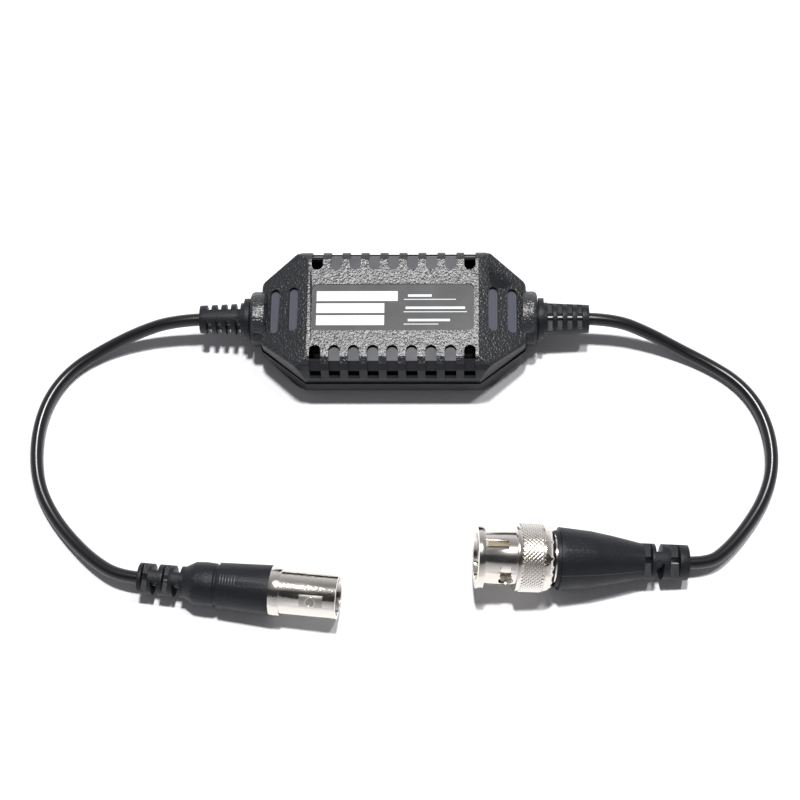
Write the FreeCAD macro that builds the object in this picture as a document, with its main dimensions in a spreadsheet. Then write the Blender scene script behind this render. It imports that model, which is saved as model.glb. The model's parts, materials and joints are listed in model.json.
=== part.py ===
import FreeCAD
import Part
import Sketcher
import math
import operator
import os

# Inline ground loop isolator: a vented two-shell housing, a captive coaxial lead at each end,
# a BNC jack on the left lead and a BNC plug with a turning coupling nut on the right lead.
# Millimetres. X runs along the housing, Y to the back, Z up. The origin is on the floor
# under the middle of the housing.

os.makedirs("parts", exist_ok=True)
doc = FreeCAD.newDocument("ground_loop_isolator")
Vector = FreeCAD.Vector

DIMENSIONS = {
    # Housing shells
    "housing_length": (58.4, "upper shell, end face to end face"),
    "housing_width": (30.6, "upper shell across the parting line"),
    "corner_inset": (10.3, "end face to the plan corners where the sides turn in"),
    "end_inset": (8.15, "side to the upright edge of an end face"),
    "parting_height": (7.4, "parting line above the floor, also the height of the leads' axis"),
    "upper_height": (7.0, "parting line to the flat top"),
    "upper_end_height": (3.65, "parting line to the top edge of an end face"),
    "top_end_inset": (10.45, "end face to the flat top, along"),
    "top_side_inset": (3.8, "side to the flat top"),
    "waist_height": (2.1, "upper side wall, first bend above the parting line"),
    "waist_inset": (0.5, "side to that bend"),
    "shoulder_height": (4.8, "start of the rounded shoulder"),
    "shoulder_inset": (1.3, "side to the start of the shoulder"),
    "crown_height": (6.4, "last bend below the flat top"),
    "crown_inset": (2.4, "side to that bend"),
    "shell_step": (0.25, "how far the lower shell stands proud of the upper one"),
    "lower_end_depth": (3.0, "parting line to the bottom edge of an end face"),
    "base_end_inset": (7.7, "end face to the flat bottom, along"),
    "base_side_inset": (3.3, "side to the flat bottom"),
    "keel_depth": (3.0, "upright part of the lower side wall"),
    "knee_depth": (5.2, "bend between side wall and bottom"),
    "knee_inset": (0.4, "side to that bend"),
    "heel_depth": (6.8, "start of the rounded lower edge"),
    "heel_inset": (1.9, "side to the rounded lower edge"),
    "wall": (1.5, "shell wall"),
    "parting_gap": (0.16, "shadow gap between the rims"),
    "lip_wall": (0.7, "locating lip inside the rims, thickness"),
    "lip_height": (1.0, "lip above the parting line"),
    "lip_root": (1.6, "lip below the parting line"),
    "corner_round": (2.0, "upright corners of the shells"),
    "edge_round": (0.6, "outside edges of the shells"),
    "fit_gap": (0.05, "clearance between parts that seat in each other"),
    # Vents, label and facet slots
    "vent_count": (9, "vents on each long edge"),
    "vent_end_gap": (0.66, "end of the flat top to the first vent"),
    "vent_width": (2.5, "vent width"),
    "vent_reach": (2.6, "side of the flat top to the inner end of a vent"),
    "vent_shelf": (6.0, "bottom of the open part, above the parting line"),
    "vent_plate_low": (3.6, "bottom of the recessed plate"),
    "vent_window_low": (2.0, "bottom of the side window"),
    "vent_plate_depth": (0.6, "recess of the plate from the shoulder"),
    "label_end_gap": (0.95, "end of the flat top to the label recess"),
    "label_side_gap": (6.0, "side of the flat top to the label recess"),
    "label_round": (1.2, "corners of the label"),
    "label_depth": (0.35, "depth of the label recess"),
    "label_thick": (0.2, "label"),
    "facet_slot_end_gap": (2.0, "upright edge of the end face to the end of a facet slot, across"),
    "facet_slot_width": (2.3, "blind slot on an end facet"),
    "facet_slot_depth": (0.8, "blind slot on an end facet"),
    "facet_slot_inner_gap": (7.2, "end face to the inner slot"),
    "facet_slot_outer_gap": (3.0, "end face to the outer slot"),
    # End noses and strain reliefs
    "nose_radius": (6.1, "round nose on each end"),
    "nose_length": (2.45, "nose beyond the end face"),
    "nose_round": (0.8, "outer edge of the nose"),
    "neck_radius": (3.2, "relief inside the nose"),
    "flange_radius": (4.5, "relief flange held in the nose"),
    "flange_thick": (1.2, "relief flange"),
    "flange_depth": (1.4, "nose face to the flange"),
    "neck_tail": (3.6, "nose face to the inner end of the relief"),
    "disc_gap": (0.25, "gap between nose and disc"),
    "disc_radius": (4.65, "relief disc against the nose"),
    "disc_thick": (1.2, "relief disc"),
    "step_radius": (3.65, "shoulder behind the disc"),
    "step_thick": (0.9, "shoulder behind the disc"),
    "fin_radius": (3.5, "first fin"),
    "tip_radius": (3.1, "end ring"),
    "relief_length": (11.45, "relief beyond the nose"),
    "relief_slot_start": (2.3, "nose face to the first slot"),
    "relief_slot_width": (1.15, "relief slot"),
    "relief_slot_pitch": (2.17, "relief slot spacing"),
    "relief_slot_count": (4, "relief slots on each side"),
    "relief_web": (2.3, "web left between opposite slots"),
    # Leads
    "cable_radius": (1.4, "coaxial lead"),
    "dielectric_radius": (0.75, "lead without jacket and screen"),
    "core_radius": (0.3, "centre conductor"),
    "stub_inset": (2.0, "end of the sleeve to the end of the jacket inside"),
    "strip_length": (1.5, "bared dielectric"),
    # Inside
    "sleeve_room": (9.2, "end face of the housing to the sleeve"),
    "sleeve_side_room": (5.0, "side of the housing to the sleeve"),
    "sleeve_height": (9.8, "shrink sleeve"),
    "sleeve_wall": (0.6, "shrink sleeve"),
    "sleeve_round": (3.0, "shrink sleeve edges"),
    "collar_radius": (2.1, "sleeve end shrunk on the lead"),
    "collar_length": (3.0, "sleeve end shrunk on the lead"),
    "board_gap": (0.1, "rounded edges of the sleeve to the board"),
    "board_thick": (1.2, "circuit board"),
    "core_side_gap": (2.6, "sleeve's inside to the winding, across"),
    "core_build": (3.2, "toroid outer radius less its inner radius"),
    "core_height": (4.8, "toroid height"),
    "winding_thick": (0.6, "wire layer on the toroid"),
    "winding_angle": (130.0, "degrees of the ring that one winding covers"),
    "capacitor_radius": (2.0, "capacitor can"),
    "capacitor_height": (5.0, "capacitor can"),
    "capacitor_gap": (0.6, "edges of the board to the capacitor"),
    # BNC jack, stations counted from the lead's entry
    "jack_tail_radius": (3.3, "slotted tail of the boot"),
    "jack_neck_end": (10.0, "end of the slotted tail"),
    "jack_bulge_start": (12.1, "grip bulge"),
    "jack_bulge_end": (16.5, "grip bulge"),
    "jack_bulge_radius": (4.7, "grip bulge"),
    "jack_groove_radius": (4.35, "groove in front of the bulge"),
    "jack_grip_start": (17.4, "front sleeve of the boot"),
    "jack_grip_radius": (4.85, "front sleeve of the boot at the groove"),
    "jack_boot_end": (28.75, "boot length"),
    "jack_boot_radius": (5.35, "boot at its front end"),
    "jack_flange_end": (31.0, "metal flange"),
    "jack_mouth": (43.0, "open end of the barrel"),
    "jack_barrel_radius": (4.825, "barrel outside"),
    "jack_bore_radius": (4.05, "barrel inside"),
    "jack_lug_station": (37.85, "bayonet lugs"),
    "lug_radius": (1.1, "bayonet lug"),
    "lug_reach": (5.3, "axis to the top of a lug"),
    "jack_nose_radius": (2.45, "dielectric nose"),
    "jack_nose_end": (40.4, "dielectric nose"),
    "jack_contact_end": (40.9, "socket contact"),
    "contact_radius": (1.05, "centre contacts"),
    "socket_radius": (0.7, "socket for the pin"),
    "stem_radius": (1.85, "crimp stem"),
    "stem_bore": (1.1, "crimp stem bore"),
    "stem_length": (7.0, "crimp stem"),
    "ferrule_inner": (2.0, "crimp ferrule"),
    "ferrule_outer": (2.5, "crimp ferrule"),
    "ferrule_length": (9.5, "crimp ferrule"),
    "seat_radius": (4.2, "part of the jack inside its boot"),
    "seat_length": (9.0, "part of the jack inside its boot"),
    # BNC plug, stations counted from the front of the coupling nut
    "nut_flange_radius": (6.8, "front flange"),
    "nut_flange_thick": (1.38, "front flange"),
    "nut_sleeve_radius": (5.8, "bayonet sleeve"),
    "nut_sleeve_end": (8.1, "start of the knurled ring"),
    "nut_knurl_radius": (7.25, "knurled ring"),
    "nut_knurl_end": (14.1, "knurled ring"),
    "knurl_depth": (0.22, "root of the knurl below the plain rims of its ring"),
    "knurl_front_rim": (0.75, "plain rim in front of the knurl"),
    "knurl_rear_rim": (0.3, "plain rim behind the knurl"),
    "nut_length": (16.1, "coupling nut"),
    "nut_tail_radius": (6.1, "rear edge of the nut"),
    "nut_bore": (4.95, "inside of the nut"),
    "nut_bore_end": (14.5, "inner rear flange of the nut"),
    "running_gap": (0.1, "nut on the plug body"),
    "bayonet_depth": (5.42, "axis to the bottom of the bayonet grooves"),
    "bayonet_width": (2.3, "bayonet groove"),
    "bayonet_low": (5.2, "start of the ramp"),
    "bayonet_high": (6.05, "end of the ramp"),
    "bayonet_turn": (88.0, "degrees from entry to lock"),
    "body_front": (1.2, "front of the plug's inner tube"),
    "body_tube_radius": (4.0, "plug's inner tube"),
    "body_tube_bore": (3.3, "plug's inner tube"),
    "body_flange_start": (10.7, "flange behind the gasket"),
    "body_flange_thick": (0.9, "flange behind the gasket"),
    "body_neck_radius": (3.9, "neck that carries the nut"),
    "body_collar_radius": (5.2, "collar behind the nut"),
    "body_collar_end": (21.0, "collar inside the boot"),
    "nut_play": (0.06, "nut to the collar at rest"),
    "finger_slot": (0.5, "slits in the plug's inner tube"),
    "finger_end": (7.4, "end of the slits"),
    "plug_insulator_start": (7.6, "face of the dielectric"),
    "plug_insulator_end": (15.2, "back of the dielectric"),
    "pin_radius": (0.675, "pin"),
    "pin_tip": (2.2, "tip of the pin"),
    "pin_end": (17.0, "back of the pin"),
    "gasket_thick": (1.0, "ring gasket"),
    "washer_thick": (0.5, "thrust washer"),
    "spring_height": (1.55, "conical spring washer"),
    "spring_thick": (0.3, "conical spring washer"),
    "plug_boot_start": (16.6, "front step of the boot"),
    "plug_step_radius": (6.0, "front step of the boot"),
    "plug_step_thick": (0.8, "front step of the boot"),
    "plug_boot_radius": (6.7, "boot at its front"),
    "plug_belly_station": (24.2, "swell of the boot"),
    "plug_belly_radius": (6.05, "swell of the boot"),
    "plug_taper_station": (29.1, "taper of the boot"),
    "plug_taper_radius": (5.15, "taper of the boot"),
    "plug_boot_end": (35.0, "end of the taper"),
    "plug_tail_radius": (3.75, "slotted tail of the boot"),
    "plug_tail_end": (45.0, "end of the boot"),
    "boot_web": (2.5, "web left between opposite tail slots"),
    # Where the connectors lie on the floor
    "jack_x": (-53.7, "lead's entry into the jack"),
    "jack_y": (-58.4, "lead's entry into the jack"),
    "jack_yaw": (-5.85, "degrees"),
    "jack_roll": (32.0, "degrees, lugs from upright towards the front"),
    "plug_x": (18.1, "front of the coupling nut"),
    "plug_y": (-54.6, "front of the coupling nut"),
    "plug_yaw": (0.05, "degrees"),
    "plug_roll": (32.0, "degrees, middle of the bayonet slots from upright towards the front"),
}

# Points of each lead between the housing's relief and its connector, chosen by hand
LEFT_ROUTE = [
    (-49.5, -0.3, 7.3),
    (-57.5, -2.1, 4.9),
    (-65.3, -5.1, 2.3),
    (-72.0, -9.2, 1.45),
    (-76.5, -15.0, 1.45),
    (-78.8, -21.9, 1.45),
    (-79.2, -29.7, 1.45),
    (-77.8, -37.4, 1.45),
    (-74.0, -44.3, 1.45),
    (-68.9, -50.2, 2.0),
    (-63.6, -54.9, 3.0),
]
RIGHT_ROUTE = [
    (49.2, -0.2, 7.3),
    (56.5, -2.4, 4.9),
    (63.3, -5.3, 2.4),
    (70.0, -8.6, 1.45),
    (76.0, -12.7, 1.45),
    (80.3, -18.4, 1.45),
    (82.5, -25.3, 1.45),
    (82.7, -32.6, 1.45),
    (80.5, -39.6, 1.45),
    (76.5, -45.9, 1.7),
    (71.8, -51.4, 2.4),
]
JACK_LEAD_IN = 4.6
PLUG_LEAD_IN = 4.8


# The sheet and sizes bound to it
sheet = doc.addObject("Spreadsheet::Sheet", "Sizes")
for row, (alias, (number, meaning)) in enumerate(DIMENSIONS.items(), start=1):
    sheet.set(f"A{row}", meaning)
    sheet.set(f"B{row}", str(number))
    sheet.setAlias(f"B{row}", alias)
doc.recompute()


class Size:
    """A number together with the sheet expression that it comes from."""

    def __init__(self, number, text):
        self.number = number
        self.text = text

    def __add__(self, other):
        return combined(self, other, "+", operator.add)

    def __radd__(self, other):
        return combined(other, self, "+", operator.add)

    def __sub__(self, other):
        return combined(self, other, "-", operator.sub)

    def __rsub__(self, other):
        return combined(other, self, "-", operator.sub)

    def __mul__(self, other):
        return combined(self, other, "*", operator.mul)

    def __rmul__(self, other):
        return combined(other, self, "*", operator.mul)

    def __truediv__(self, other):
        return combined(self, other, "/", operator.truediv)

    def __neg__(self):
        return Size(-self.number, f"(-{self.text})")


def as_size(value):
    """A plain number becomes a size with itself as its expression."""
    if isinstance(value, Size):
        return value
    return Size(float(value), f"{float(value):g}")


def combined(left, right, sign, work):
    """Joins two sizes by one arithmetic step, in number and in expression."""
    left, right = as_size(left), as_size(right)
    return Size(work(left.number, right.number), f"({left.text} {sign} {right.text})")


def dim(alias):
    """The named size from the sheet."""
    return Size(float(sheet.get(alias)), f"Sizes.{alias}")


def bind(feature, prop, value):
    """Sets a property and ties it to the sheet."""
    size = as_size(value)
    if isinstance(value, Size):
        feature.setExpression(prop, size.text)
    else:
        setattr(feature, prop, size.number)


# Sketches and features
def new_body(label):
    """An empty body under its own label."""
    body = doc.addObject("PartDesign::Body", label)
    body.Label = label
    return body


def new_sketch(body, plane, lift=0):
    """A sketch on one of the body's own origin planes, raised along the plane's normal."""
    sketch = body.newObject("Sketcher::SketchObject", f"{body.Name}_sketch")
    support = [item for item in body.Origin.OriginFeatures if item.Role == plane][0]
    sketch.AttachmentSupport = (support, [""])
    sketch.MapMode = "FlatFace"
    if isinstance(lift, Size):
        sketch.setExpression("AttachmentOffset.Base.z", lift.text)
    return sketch


def hold(sketch, geometry, point, place):
    """Holds one point of the sketch at its distances from the origin."""
    for kind, value in zip(("DistanceX", "DistanceY"), place):
        size = as_size(value)
        index = sketch.addConstraint(Sketcher.Constraint(kind, -1, 1, geometry, point, size.number))
        if isinstance(value, Size):
            sketch.setExpression(f"Constraints[{index}]", size.text)


def polygon(sketch, corners):
    """A closed outline of straight edges."""
    first = sketch.GeometryCount
    count = len(corners)
    spots = [Vector(as_size(x).number, as_size(y).number, 0) for x, y in corners]
    for index in range(count):
        sketch.addGeometry(Part.LineSegment(spots[index], spots[(index + 1) % count]), False)
    for index in range(count):
        following = first + (index + 1) % count
        sketch.addConstraint(Sketcher.Constraint("Coincident", first + index, 2, following, 1))
        hold(sketch, first + index, 1, corners[index])


def rectangle(sketch, left, low, right, high):
    """A rectangle from its lower left to its upper right corner."""
    polygon(sketch, [(left, low), (right, low), (right, high), (left, high)])


def circle(sketch, x, y, radius):
    """A circle held at its centre and radius."""
    centre = Vector(as_size(x).number, as_size(y).number, 0)
    index = sketch.addGeometry(Part.Circle(centre, Vector(0, 0, 1), as_size(radius).number), False)
    hold(sketch, index, 3, (x, y))
    constraint = sketch.addConstraint(Sketcher.Constraint("Radius", index, as_size(radius).number))
    sketch.setExpression(f"Constraints[{constraint}]", as_size(radius).text)


def feature(body, kind, sketch, **settings):
    """A PartDesign feature on a sketch, with its lengths bound."""
    made = body.newObject(f"PartDesign::{kind}", f"{body.Name}_{kind.lower()}")
    made.Profile = sketch
    for prop, value in settings.items():
        if isinstance(value, (Size, float)):
            bind(made, prop, value)
        else:
            setattr(made, prop, value)
    doc.recompute()
    return made


def pad(body, sketch, length, side="One side"):
    """Material added square to the sketch."""
    return feature(body, "Pad", sketch, Length=as_size(length), SideType=side)


def cut_through(body, sketch, length):
    """Material taken away on both sides of the sketch."""
    return feature(body, "Pocket", sketch, Length=as_size(length), SideType="Symmetric")


def turned(label, outline, placement=None):
    """A body of revolution about X, from (station, radius) corners."""
    body = new_body(label)
    sketch = new_sketch(body, "XY_Plane")
    polygon(sketch, outline)
    feature(body, "Revolution", sketch, ReferenceAxis=(sketch, ["H_Axis"]), Angle=360.0)
    if placement is not None:
        body.Placement = placement
    return body


def ring(label, start, end, inner, outer, placement=None):
    """A plain turned ring or tube."""
    return turned(label, [(start, inner), (end, inner), (end, outer), (start, outer)], placement)


def edges_where(shape, test):
    """Names of the edges whose two ends pass the test."""
    names = []
    for number, edge in enumerate(shape.Edges, start=1):
        if len(edge.Vertexes) == 2 and test(edge.Vertexes[0].Point, edge.Vertexes[1].Point):
            names.append(f"Edge{number}")
    return names


def rounded(body, base, names, radius):
    """A fillet on named edges of the body's last feature."""
    made = body.newObject("PartDesign::Fillet", f"{body.Name}_fillet")
    made.Base = (base, names)
    bind(made, "Radius", radius)
    doc.recompute()
    return made


def boolean(kind, label, base, tool):
    """A cut or a common of two objects."""
    made = doc.addObject(f"Part::{kind}", label)
    made.Base = base
    made.Tool = tool
    doc.recompute()
    return made


def fused(label, pieces):
    """Several objects as one solid."""
    made = doc.addObject("Part::MultiFuse", label)
    made.Shapes = pieces
    doc.recompute()
    return made


def rod(label, radius, length, start):
    """A cylinder along X at the height of the parting line."""
    made = doc.addObject("Part::Cylinder", label)
    bind(made, "Radius", radius)
    bind(made, "Height", length)
    made.Placement.Rotation = FreeCAD.Rotation(Vector(0, 1, 0), 90)
    made.setExpression("Placement.Base.x", as_size(start).text)
    made.setExpression("Placement.Base.z", "Sizes.parting_height")
    doc.recompute()
    return made


NODES = {}


def keep(label, made):
    """Registers a finished piece under the name of its node."""
    made.Label = label
    NODES[label] = made
    return made


# Housing shells
def lengthwise(inset):
    """A length of the housing less the named inset at both ends."""
    return dim("housing_length") - 2 * dim(inset)


def crosswise(inset):
    """A width of the housing less the named inset at both sides."""
    return dim("housing_width") - 2 * dim(inset)


def upright(one, other):
    """True for an edge that stands upright."""
    return abs(one.x - other.x) < 1e-4 and abs(one.y - other.y) < 1e-4


def shell_form(label, up, inset, sizes):
    """Half of the housing as a solid: side, plan and cross-section outlines cut one block."""
    half_length = sizes["length"] / 2 - inset
    half_width = sizes["width"] / 2 - inset
    half_end = sizes["end_width"] / 2 - inset / 2
    half_corner = lengthwise("corner_inset") / 2 - inset / 3
    half_flat = sizes["flat_length"] / 2 - inset / 6
    rim = dim("parting_height") + up * sizes["rim"]
    deep = dim("parting_height") + up * (sizes["depth"] - inset)
    end = dim("parting_height") + up * (sizes["end_depth"] - inset)
    body = new_body(label)
    side = new_sketch(body, "XZ_Plane")
    polygon(side, [(-half_length, rim), (-half_length, end), (-half_flat, deep),
                   (half_flat, deep), (half_length, end), (half_length, rim)])
    pad(body, side, sizes["width"], "Symmetric")
    plan = new_sketch(body, "XY_Plane")
    margin = dim("housing_length")
    rectangle(plan, -margin, -margin, margin, margin)
    polygon(plan, [(-half_length, -half_end), (-half_corner, -half_width), (half_corner, -half_width),
                   (half_length, -half_end), (half_length, half_end), (half_corner, half_width),
                   (-half_corner, half_width), (-half_length, half_end)])
    trimmed = cut_through(body, plan, 4 * sizes["depth"] + 4 * dim("parting_height"))
    corners = edges_where(trimmed.Shape, upright)
    rounded(body, trimmed, corners, dim("corner_round"))
    section = new_sketch(body, "YZ_Plane")
    rectangle(section, -margin, -margin, margin, margin)
    right = []
    for width, height in sizes["section"]:
        share = height / sizes["depth"]
        right.append((width / 2 - inset, dim("parting_height") + up * (height - inset * share)))
    right.append((sizes["flat_width"] / 2 - inset, deep))
    start = [(half_width, dim("parting_height") - up * dim("wall"))]
    if inset.number > 0 and up > 0:
        start.append((half_width, dim("parting_height") + dim("lip_height") + dim("fit_gap")))
    right = start + right
    polygon(section, right + [(-y, z) for y, z in reversed(right)])
    shaped = cut_through(body, section, 2 * margin)
    if inset.number == 0:
        level = dim("parting_height").number

        def outside(one, other):
            return not upright(one, other) and min(up * (one.z - level), up * (other.z - level)) > 0.5

        rounded(body, shaped, edges_where(shaped.Shape, outside), dim("edge_round"))
    return body


def upper_sizes():
    """Sizes of the upper shell's outside."""
    return {
        "length": dim("housing_length"),
        "width": dim("housing_width"),
        "end_width": crosswise("end_inset"),
        "flat_length": lengthwise("top_end_inset"),
        "flat_width": crosswise("top_side_inset"),
        "rim": dim("parting_gap") / 2,
        "depth": dim("upper_height"),
        "end_depth": dim("upper_end_height"),
        "section": [
            (crosswise("waist_inset"), dim("waist_height")),
            (crosswise("shoulder_inset"), dim("shoulder_height")),
            (crosswise("crown_inset"), dim("crown_height")),
        ],
    }


def lower_sizes():
    """Sizes of the lower shell's outside, proud of the upper one all round."""
    step = 2 * dim("shell_step")
    return {
        "length": dim("housing_length") + step,
        "width": dim("housing_width") + step,
        "end_width": crosswise("end_inset") + step,
        "flat_length": lengthwise("base_end_inset"),
        "flat_width": crosswise("base_side_inset"),
        "rim": dim("parting_gap") / 2,
        "depth": dim("parting_height"),
        "end_depth": dim("lower_end_depth"),
        "section": [
            (dim("housing_width") + step, dim("keel_depth")),
            (crosswise("knee_inset"), dim("knee_depth")),
            (crosswise("heel_inset"), dim("heel_depth")),
        ],
    }


def half_nose(label, up):
    """The round nose on one end, above or below the parting line."""
    body = new_body(label)
    sketch = new_sketch(body, "XY_Plane")
    inner = dim("housing_length") / 2 - dim("wall") / 2
    outer = dim("housing_length") / 2 + dim("nose_length")
    edge = dim("nose_round")
    polygon(sketch, [(inner, 0), (outer, 0), (outer, dim("nose_radius") - edge),
                     (outer - edge / 3, dim("nose_radius") - edge / 3),
                     (outer - edge, dim("nose_radius")), (inner, dim("nose_radius"))])
    feature(body, "Revolution", sketch, ReferenceAxis=(sketch, ["H_Axis"]), Angle=360.0)
    half = new_sketch(body, "XY_Plane", -up * (dim("housing_width") - dim("parting_gap") / 2))
    reach = dim("housing_length")
    rectangle(half, -reach, -reach, reach, reach)
    cut_through(body, half, 2 * dim("housing_width"))
    body.Placement.Base = Vector(0, 0, dim("parting_height").number)
    body.setExpression("Placement.Base.z", "Sizes.parting_height")
    doc.recompute()
    return body


def mirrored(label, source):
    """The same piece on the left end."""
    made = doc.addObject("Part::Mirroring", label)
    made.Source = source
    made.Normal = Vector(1, 0, 0)
    doc.recompute()
    return made


def relief_bore(label):
    """The bore that holds both strain reliefs, right through the housing."""
    reach = dim("housing_length") / 2 + dim("nose_length") + dim("wall")
    return rod(label, dim("neck_radius") + dim("fit_gap"), 2 * reach, -reach)


def flange_grooves(label):
    """Grooves in both noses that hold the relief flanges."""
    gap = dim("fit_gap")
    outer = nose_face() - dim("flange_depth") + gap
    length = dim("flange_thick") + 2 * gap
    radius = dim("flange_radius") + gap
    return [rod(f"{label}_right", radius, length, outer - length),
            rod(f"{label}_left", radius, length, -outer)]


def with_noses(label, form, up):
    """A shell form with its half of both noses."""
    nose = half_nose(f"{label}_nose", up)
    return fused(f"{label}_with_noses", [form, nose, mirrored(f"{label}_nose_left", nose)])


def vents(body):
    """Vents over both long edges: an open slot, a recessed plate and a low window."""
    count = dim("vent_count")
    span = lengthwise("top_end_inset") - 2 * dim("vent_end_gap") - dim("vent_width")
    first = -span / 2
    base = dim("parting_height")
    through = crosswise("shoulder_inset") / 2 - dim("wall") - dim("wall") / 2
    outside = dim("housing_width")
    plate_low = crosswise("shoulder_inset") / 2 - dim("vent_plate_depth") / 2
    plate_high = crosswise("crown_inset") / 2 - dim("vent_plate_depth")
    round_end = crosswise("top_side_inset") / 2 - dim("vent_reach") + dim("vent_width") / 2
    under = base + dim("crown_height") - 2 * dim("wall")
    profile = new_sketch(body, "YZ_Plane", first)
    side = [(round_end, under), (through, under), (through, base + dim("vent_shelf")),
            (plate_high, base + dim("vent_shelf")), (plate_low, base + dim("vent_plate_low")),
            (through, base + dim("vent_plate_low")), (through, base + dim("vent_window_low")),
            (outside, base + dim("vent_window_low")), (outside, base + 2 * dim("upper_height")),
            (round_end, base + 2 * dim("upper_height"))]
    polygon(profile, side)
    polygon(profile, [(-y, z) for y, z in side])
    slots = cut_through(body, profile, dim("vent_width"))
    ends = new_sketch(body, "XY_Plane", under)
    circle(ends, first, round_end, dim("vent_width") / 2)
    circle(ends, first, -round_end, dim("vent_width") / 2)
    holes = feature(body, "Pocket", ends, Length=dim("upper_height"), Reversed=True)
    pattern = body.newObject("PartDesign::LinearPattern", f"{body.Name}_vents")
    pattern.Originals = [slots, holes]
    pattern.Direction = (ends, ["H_Axis"])
    bind(pattern, "Length", span)
    pattern.Occurrences = int(count.number)
    body.Tip = pattern
    doc.recompute()


def label_length():
    """Length of the label recess."""
    return lengthwise("top_end_inset") - 2 * dim("label_end_gap")


def label_width():
    """Width of the label recess."""
    return crosswise("top_side_inset") - 2 * dim("label_side_gap")


def label_recess(body):
    """The shallow recess for the label in the flat top."""
    floor = dim("parting_height") + dim("upper_height") - dim("label_depth")
    sketch = new_sketch(body, "XY_Plane", floor)
    length, width = label_length() / 2, label_width() / 2
    rectangle(sketch, -length, -width, length, width)
    recess = feature(body, "Pocket", sketch, Length=dim("upper_height"), Reversed=True)

    def corner(one, other):
        return (upright(one, other) and abs(abs(one.x) - length.number) < 0.01
                and abs(abs(one.y) - width.number) < 0.01)

    rounded(body, recess, edges_where(recess.Shape, corner), dim("label_round"))


def stadium(length, width):
    """A flat slot outline with round ends, along Y about the origin."""
    reach, radius = (length - width) / 2, width / 2
    right = Part.LineSegment(Vector(radius, -reach, 0), Vector(radius, reach, 0))
    top = Part.Arc(Vector(radius, reach, 0), Vector(0, reach + radius, 0), Vector(-radius, reach, 0))
    left = Part.LineSegment(Vector(-radius, reach, 0), Vector(-radius, -reach, 0))
    low = Part.Arc(Vector(-radius, -reach, 0), Vector(0, -reach - radius, 0), Vector(radius, -reach, 0))
    return Part.Face(Part.Wire([edge.toShape() for edge in (right, top, left, low)]))


def facet_slots(label):
    """Cutters for the two blind slots on each end facet, square to the facet."""
    half_flat = lengthwise("top_end_inset").number / 2
    fall = dim("upper_height").number - dim("upper_end_height").number
    slope = fall / (dim("housing_length").number / 2 - half_flat)
    depth = dim("facet_slot_depth").number
    length = crosswise("end_inset") - 2 * dim("facet_slot_end_gap")
    face = stadium(length.number, dim("facet_slot_width").number)
    cutters = []
    for name in ("facet_slot_inner_gap", "facet_slot_outer_gap"):
        station = lengthwise(name).number / 2
        for side in (-1, 1):
            height = dim("parting_height").number + dim("upper_height").number
            height -= slope * (station - half_flat)
            cutter = face.extrude(Vector(0, 0, 4 * depth))
            cutter.translate(Vector(0, 0, -depth))
            cutter.rotate(Vector(0, 0, 0), Vector(0, 1, 0), side * math.degrees(math.atan(slope)))
            cutter.translate(Vector(side * station, 0, height))
            cutters.append(cutter)
    made = doc.addObject("Part::Feature", label)
    made.Shape = Part.makeCompound(cutters)
    return made


def upper_shell():
    """Top moulding with vents, label recess, facet slots and the upper halves of the noses."""
    sizes = upper_sizes()
    solid = with_noses("upper", shell_form("upper_form", 1, as_size(0), sizes), 1)
    room = fused("upper_room", [shell_form("upper_cavity", 1, dim("wall"), dict(sizes, rim=as_size(0))),
                                relief_bore("upper_bore"), *flange_grooves("upper_groove")])
    hollow = boolean("Cut", "upper_hollow", solid, room)
    body = new_body("upper_vented")
    body.BaseFeature = hollow
    doc.recompute()
    vents(body)
    label_recess(body)
    return keep("upper_shell", boolean("Cut", "upper_shell", body, facet_slots("facet_slot_cutters")))


def lower_shell():
    """Bottom moulding with its locating lip and the lower halves of the noses."""
    solid = with_noses("lower", shell_form("lower_form", -1, as_size(0), lower_sizes()), -1)
    inset = dim("wall") + dim("fit_gap")
    section = [(dim("housing_width"), dim("keel_depth"))] + lower_sizes()["section"][1:]
    inner = dict(lower_sizes(), length=dim("housing_length"), width=dim("housing_width"),
                 end_width=crosswise("end_inset"), rim=as_size(0), section=section)
    room = fused("lower_room", [shell_form("lower_cavity", -1, inset, inner), relief_bore("lower_bore"),
                                *flange_grooves("lower_groove")])
    hollow = boolean("Cut", "lower_hollow", solid, room)
    lip = boolean("Cut", "lip_open", locating_lip("lip", inset), relief_bore("lip_bore"))
    return keep("lower_shell", fused("lower_shell", [hollow, lip]))


def locating_lip(label, inset):
    """A thin upright wall inside both rims that lines the shells up."""
    body = new_body(label)
    low = dim("parting_height") - dim("lip_root")
    for step, kind in ((0, "outer"), (1, "inner")):
        shift = inset + step * dim("lip_wall")
        half_length = dim("housing_length") / 2 - shift
        half_width = dim("housing_width") / 2 - shift
        half_end = crosswise("end_inset") / 2 - shift / 2
        half_corner = lengthwise("corner_inset") / 2 - shift / 3
        sketch = new_sketch(body, "XY_Plane", low)
        polygon(sketch, [(-half_length, -half_end), (-half_corner, -half_width),
                         (half_corner, -half_width), (half_length, -half_end),
                         (half_length, half_end), (half_corner, half_width),
                         (-half_corner, half_width), (-half_length, half_end)])
        tall = dim("lip_root") + dim("lip_height")
        if kind == "outer":
            made = pad(body, sketch, tall)
            rounded(body, made, edges_where(made.Shape, upright), dim("corner_round"))
        else:
            feature(body, "Pocket", sketch, Length=tall, Reversed=True)
    return body


def label_plate():
    """The thin label in its recess."""
    body = new_body("label_plate")
    floor = dim("parting_height") + dim("upper_height") - dim("label_depth")
    sketch = new_sketch(body, "XY_Plane", floor)
    length = label_length() / 2 - dim("fit_gap")
    width = label_width() / 2 - dim("fit_gap")
    rectangle(sketch, -length, -width, length, width)
    made = pad(body, sketch, dim("label_thick"))
    rounded(body, made, edges_where(made.Shape, upright), dim("label_round"))
    return keep("label_plate", body)


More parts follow.
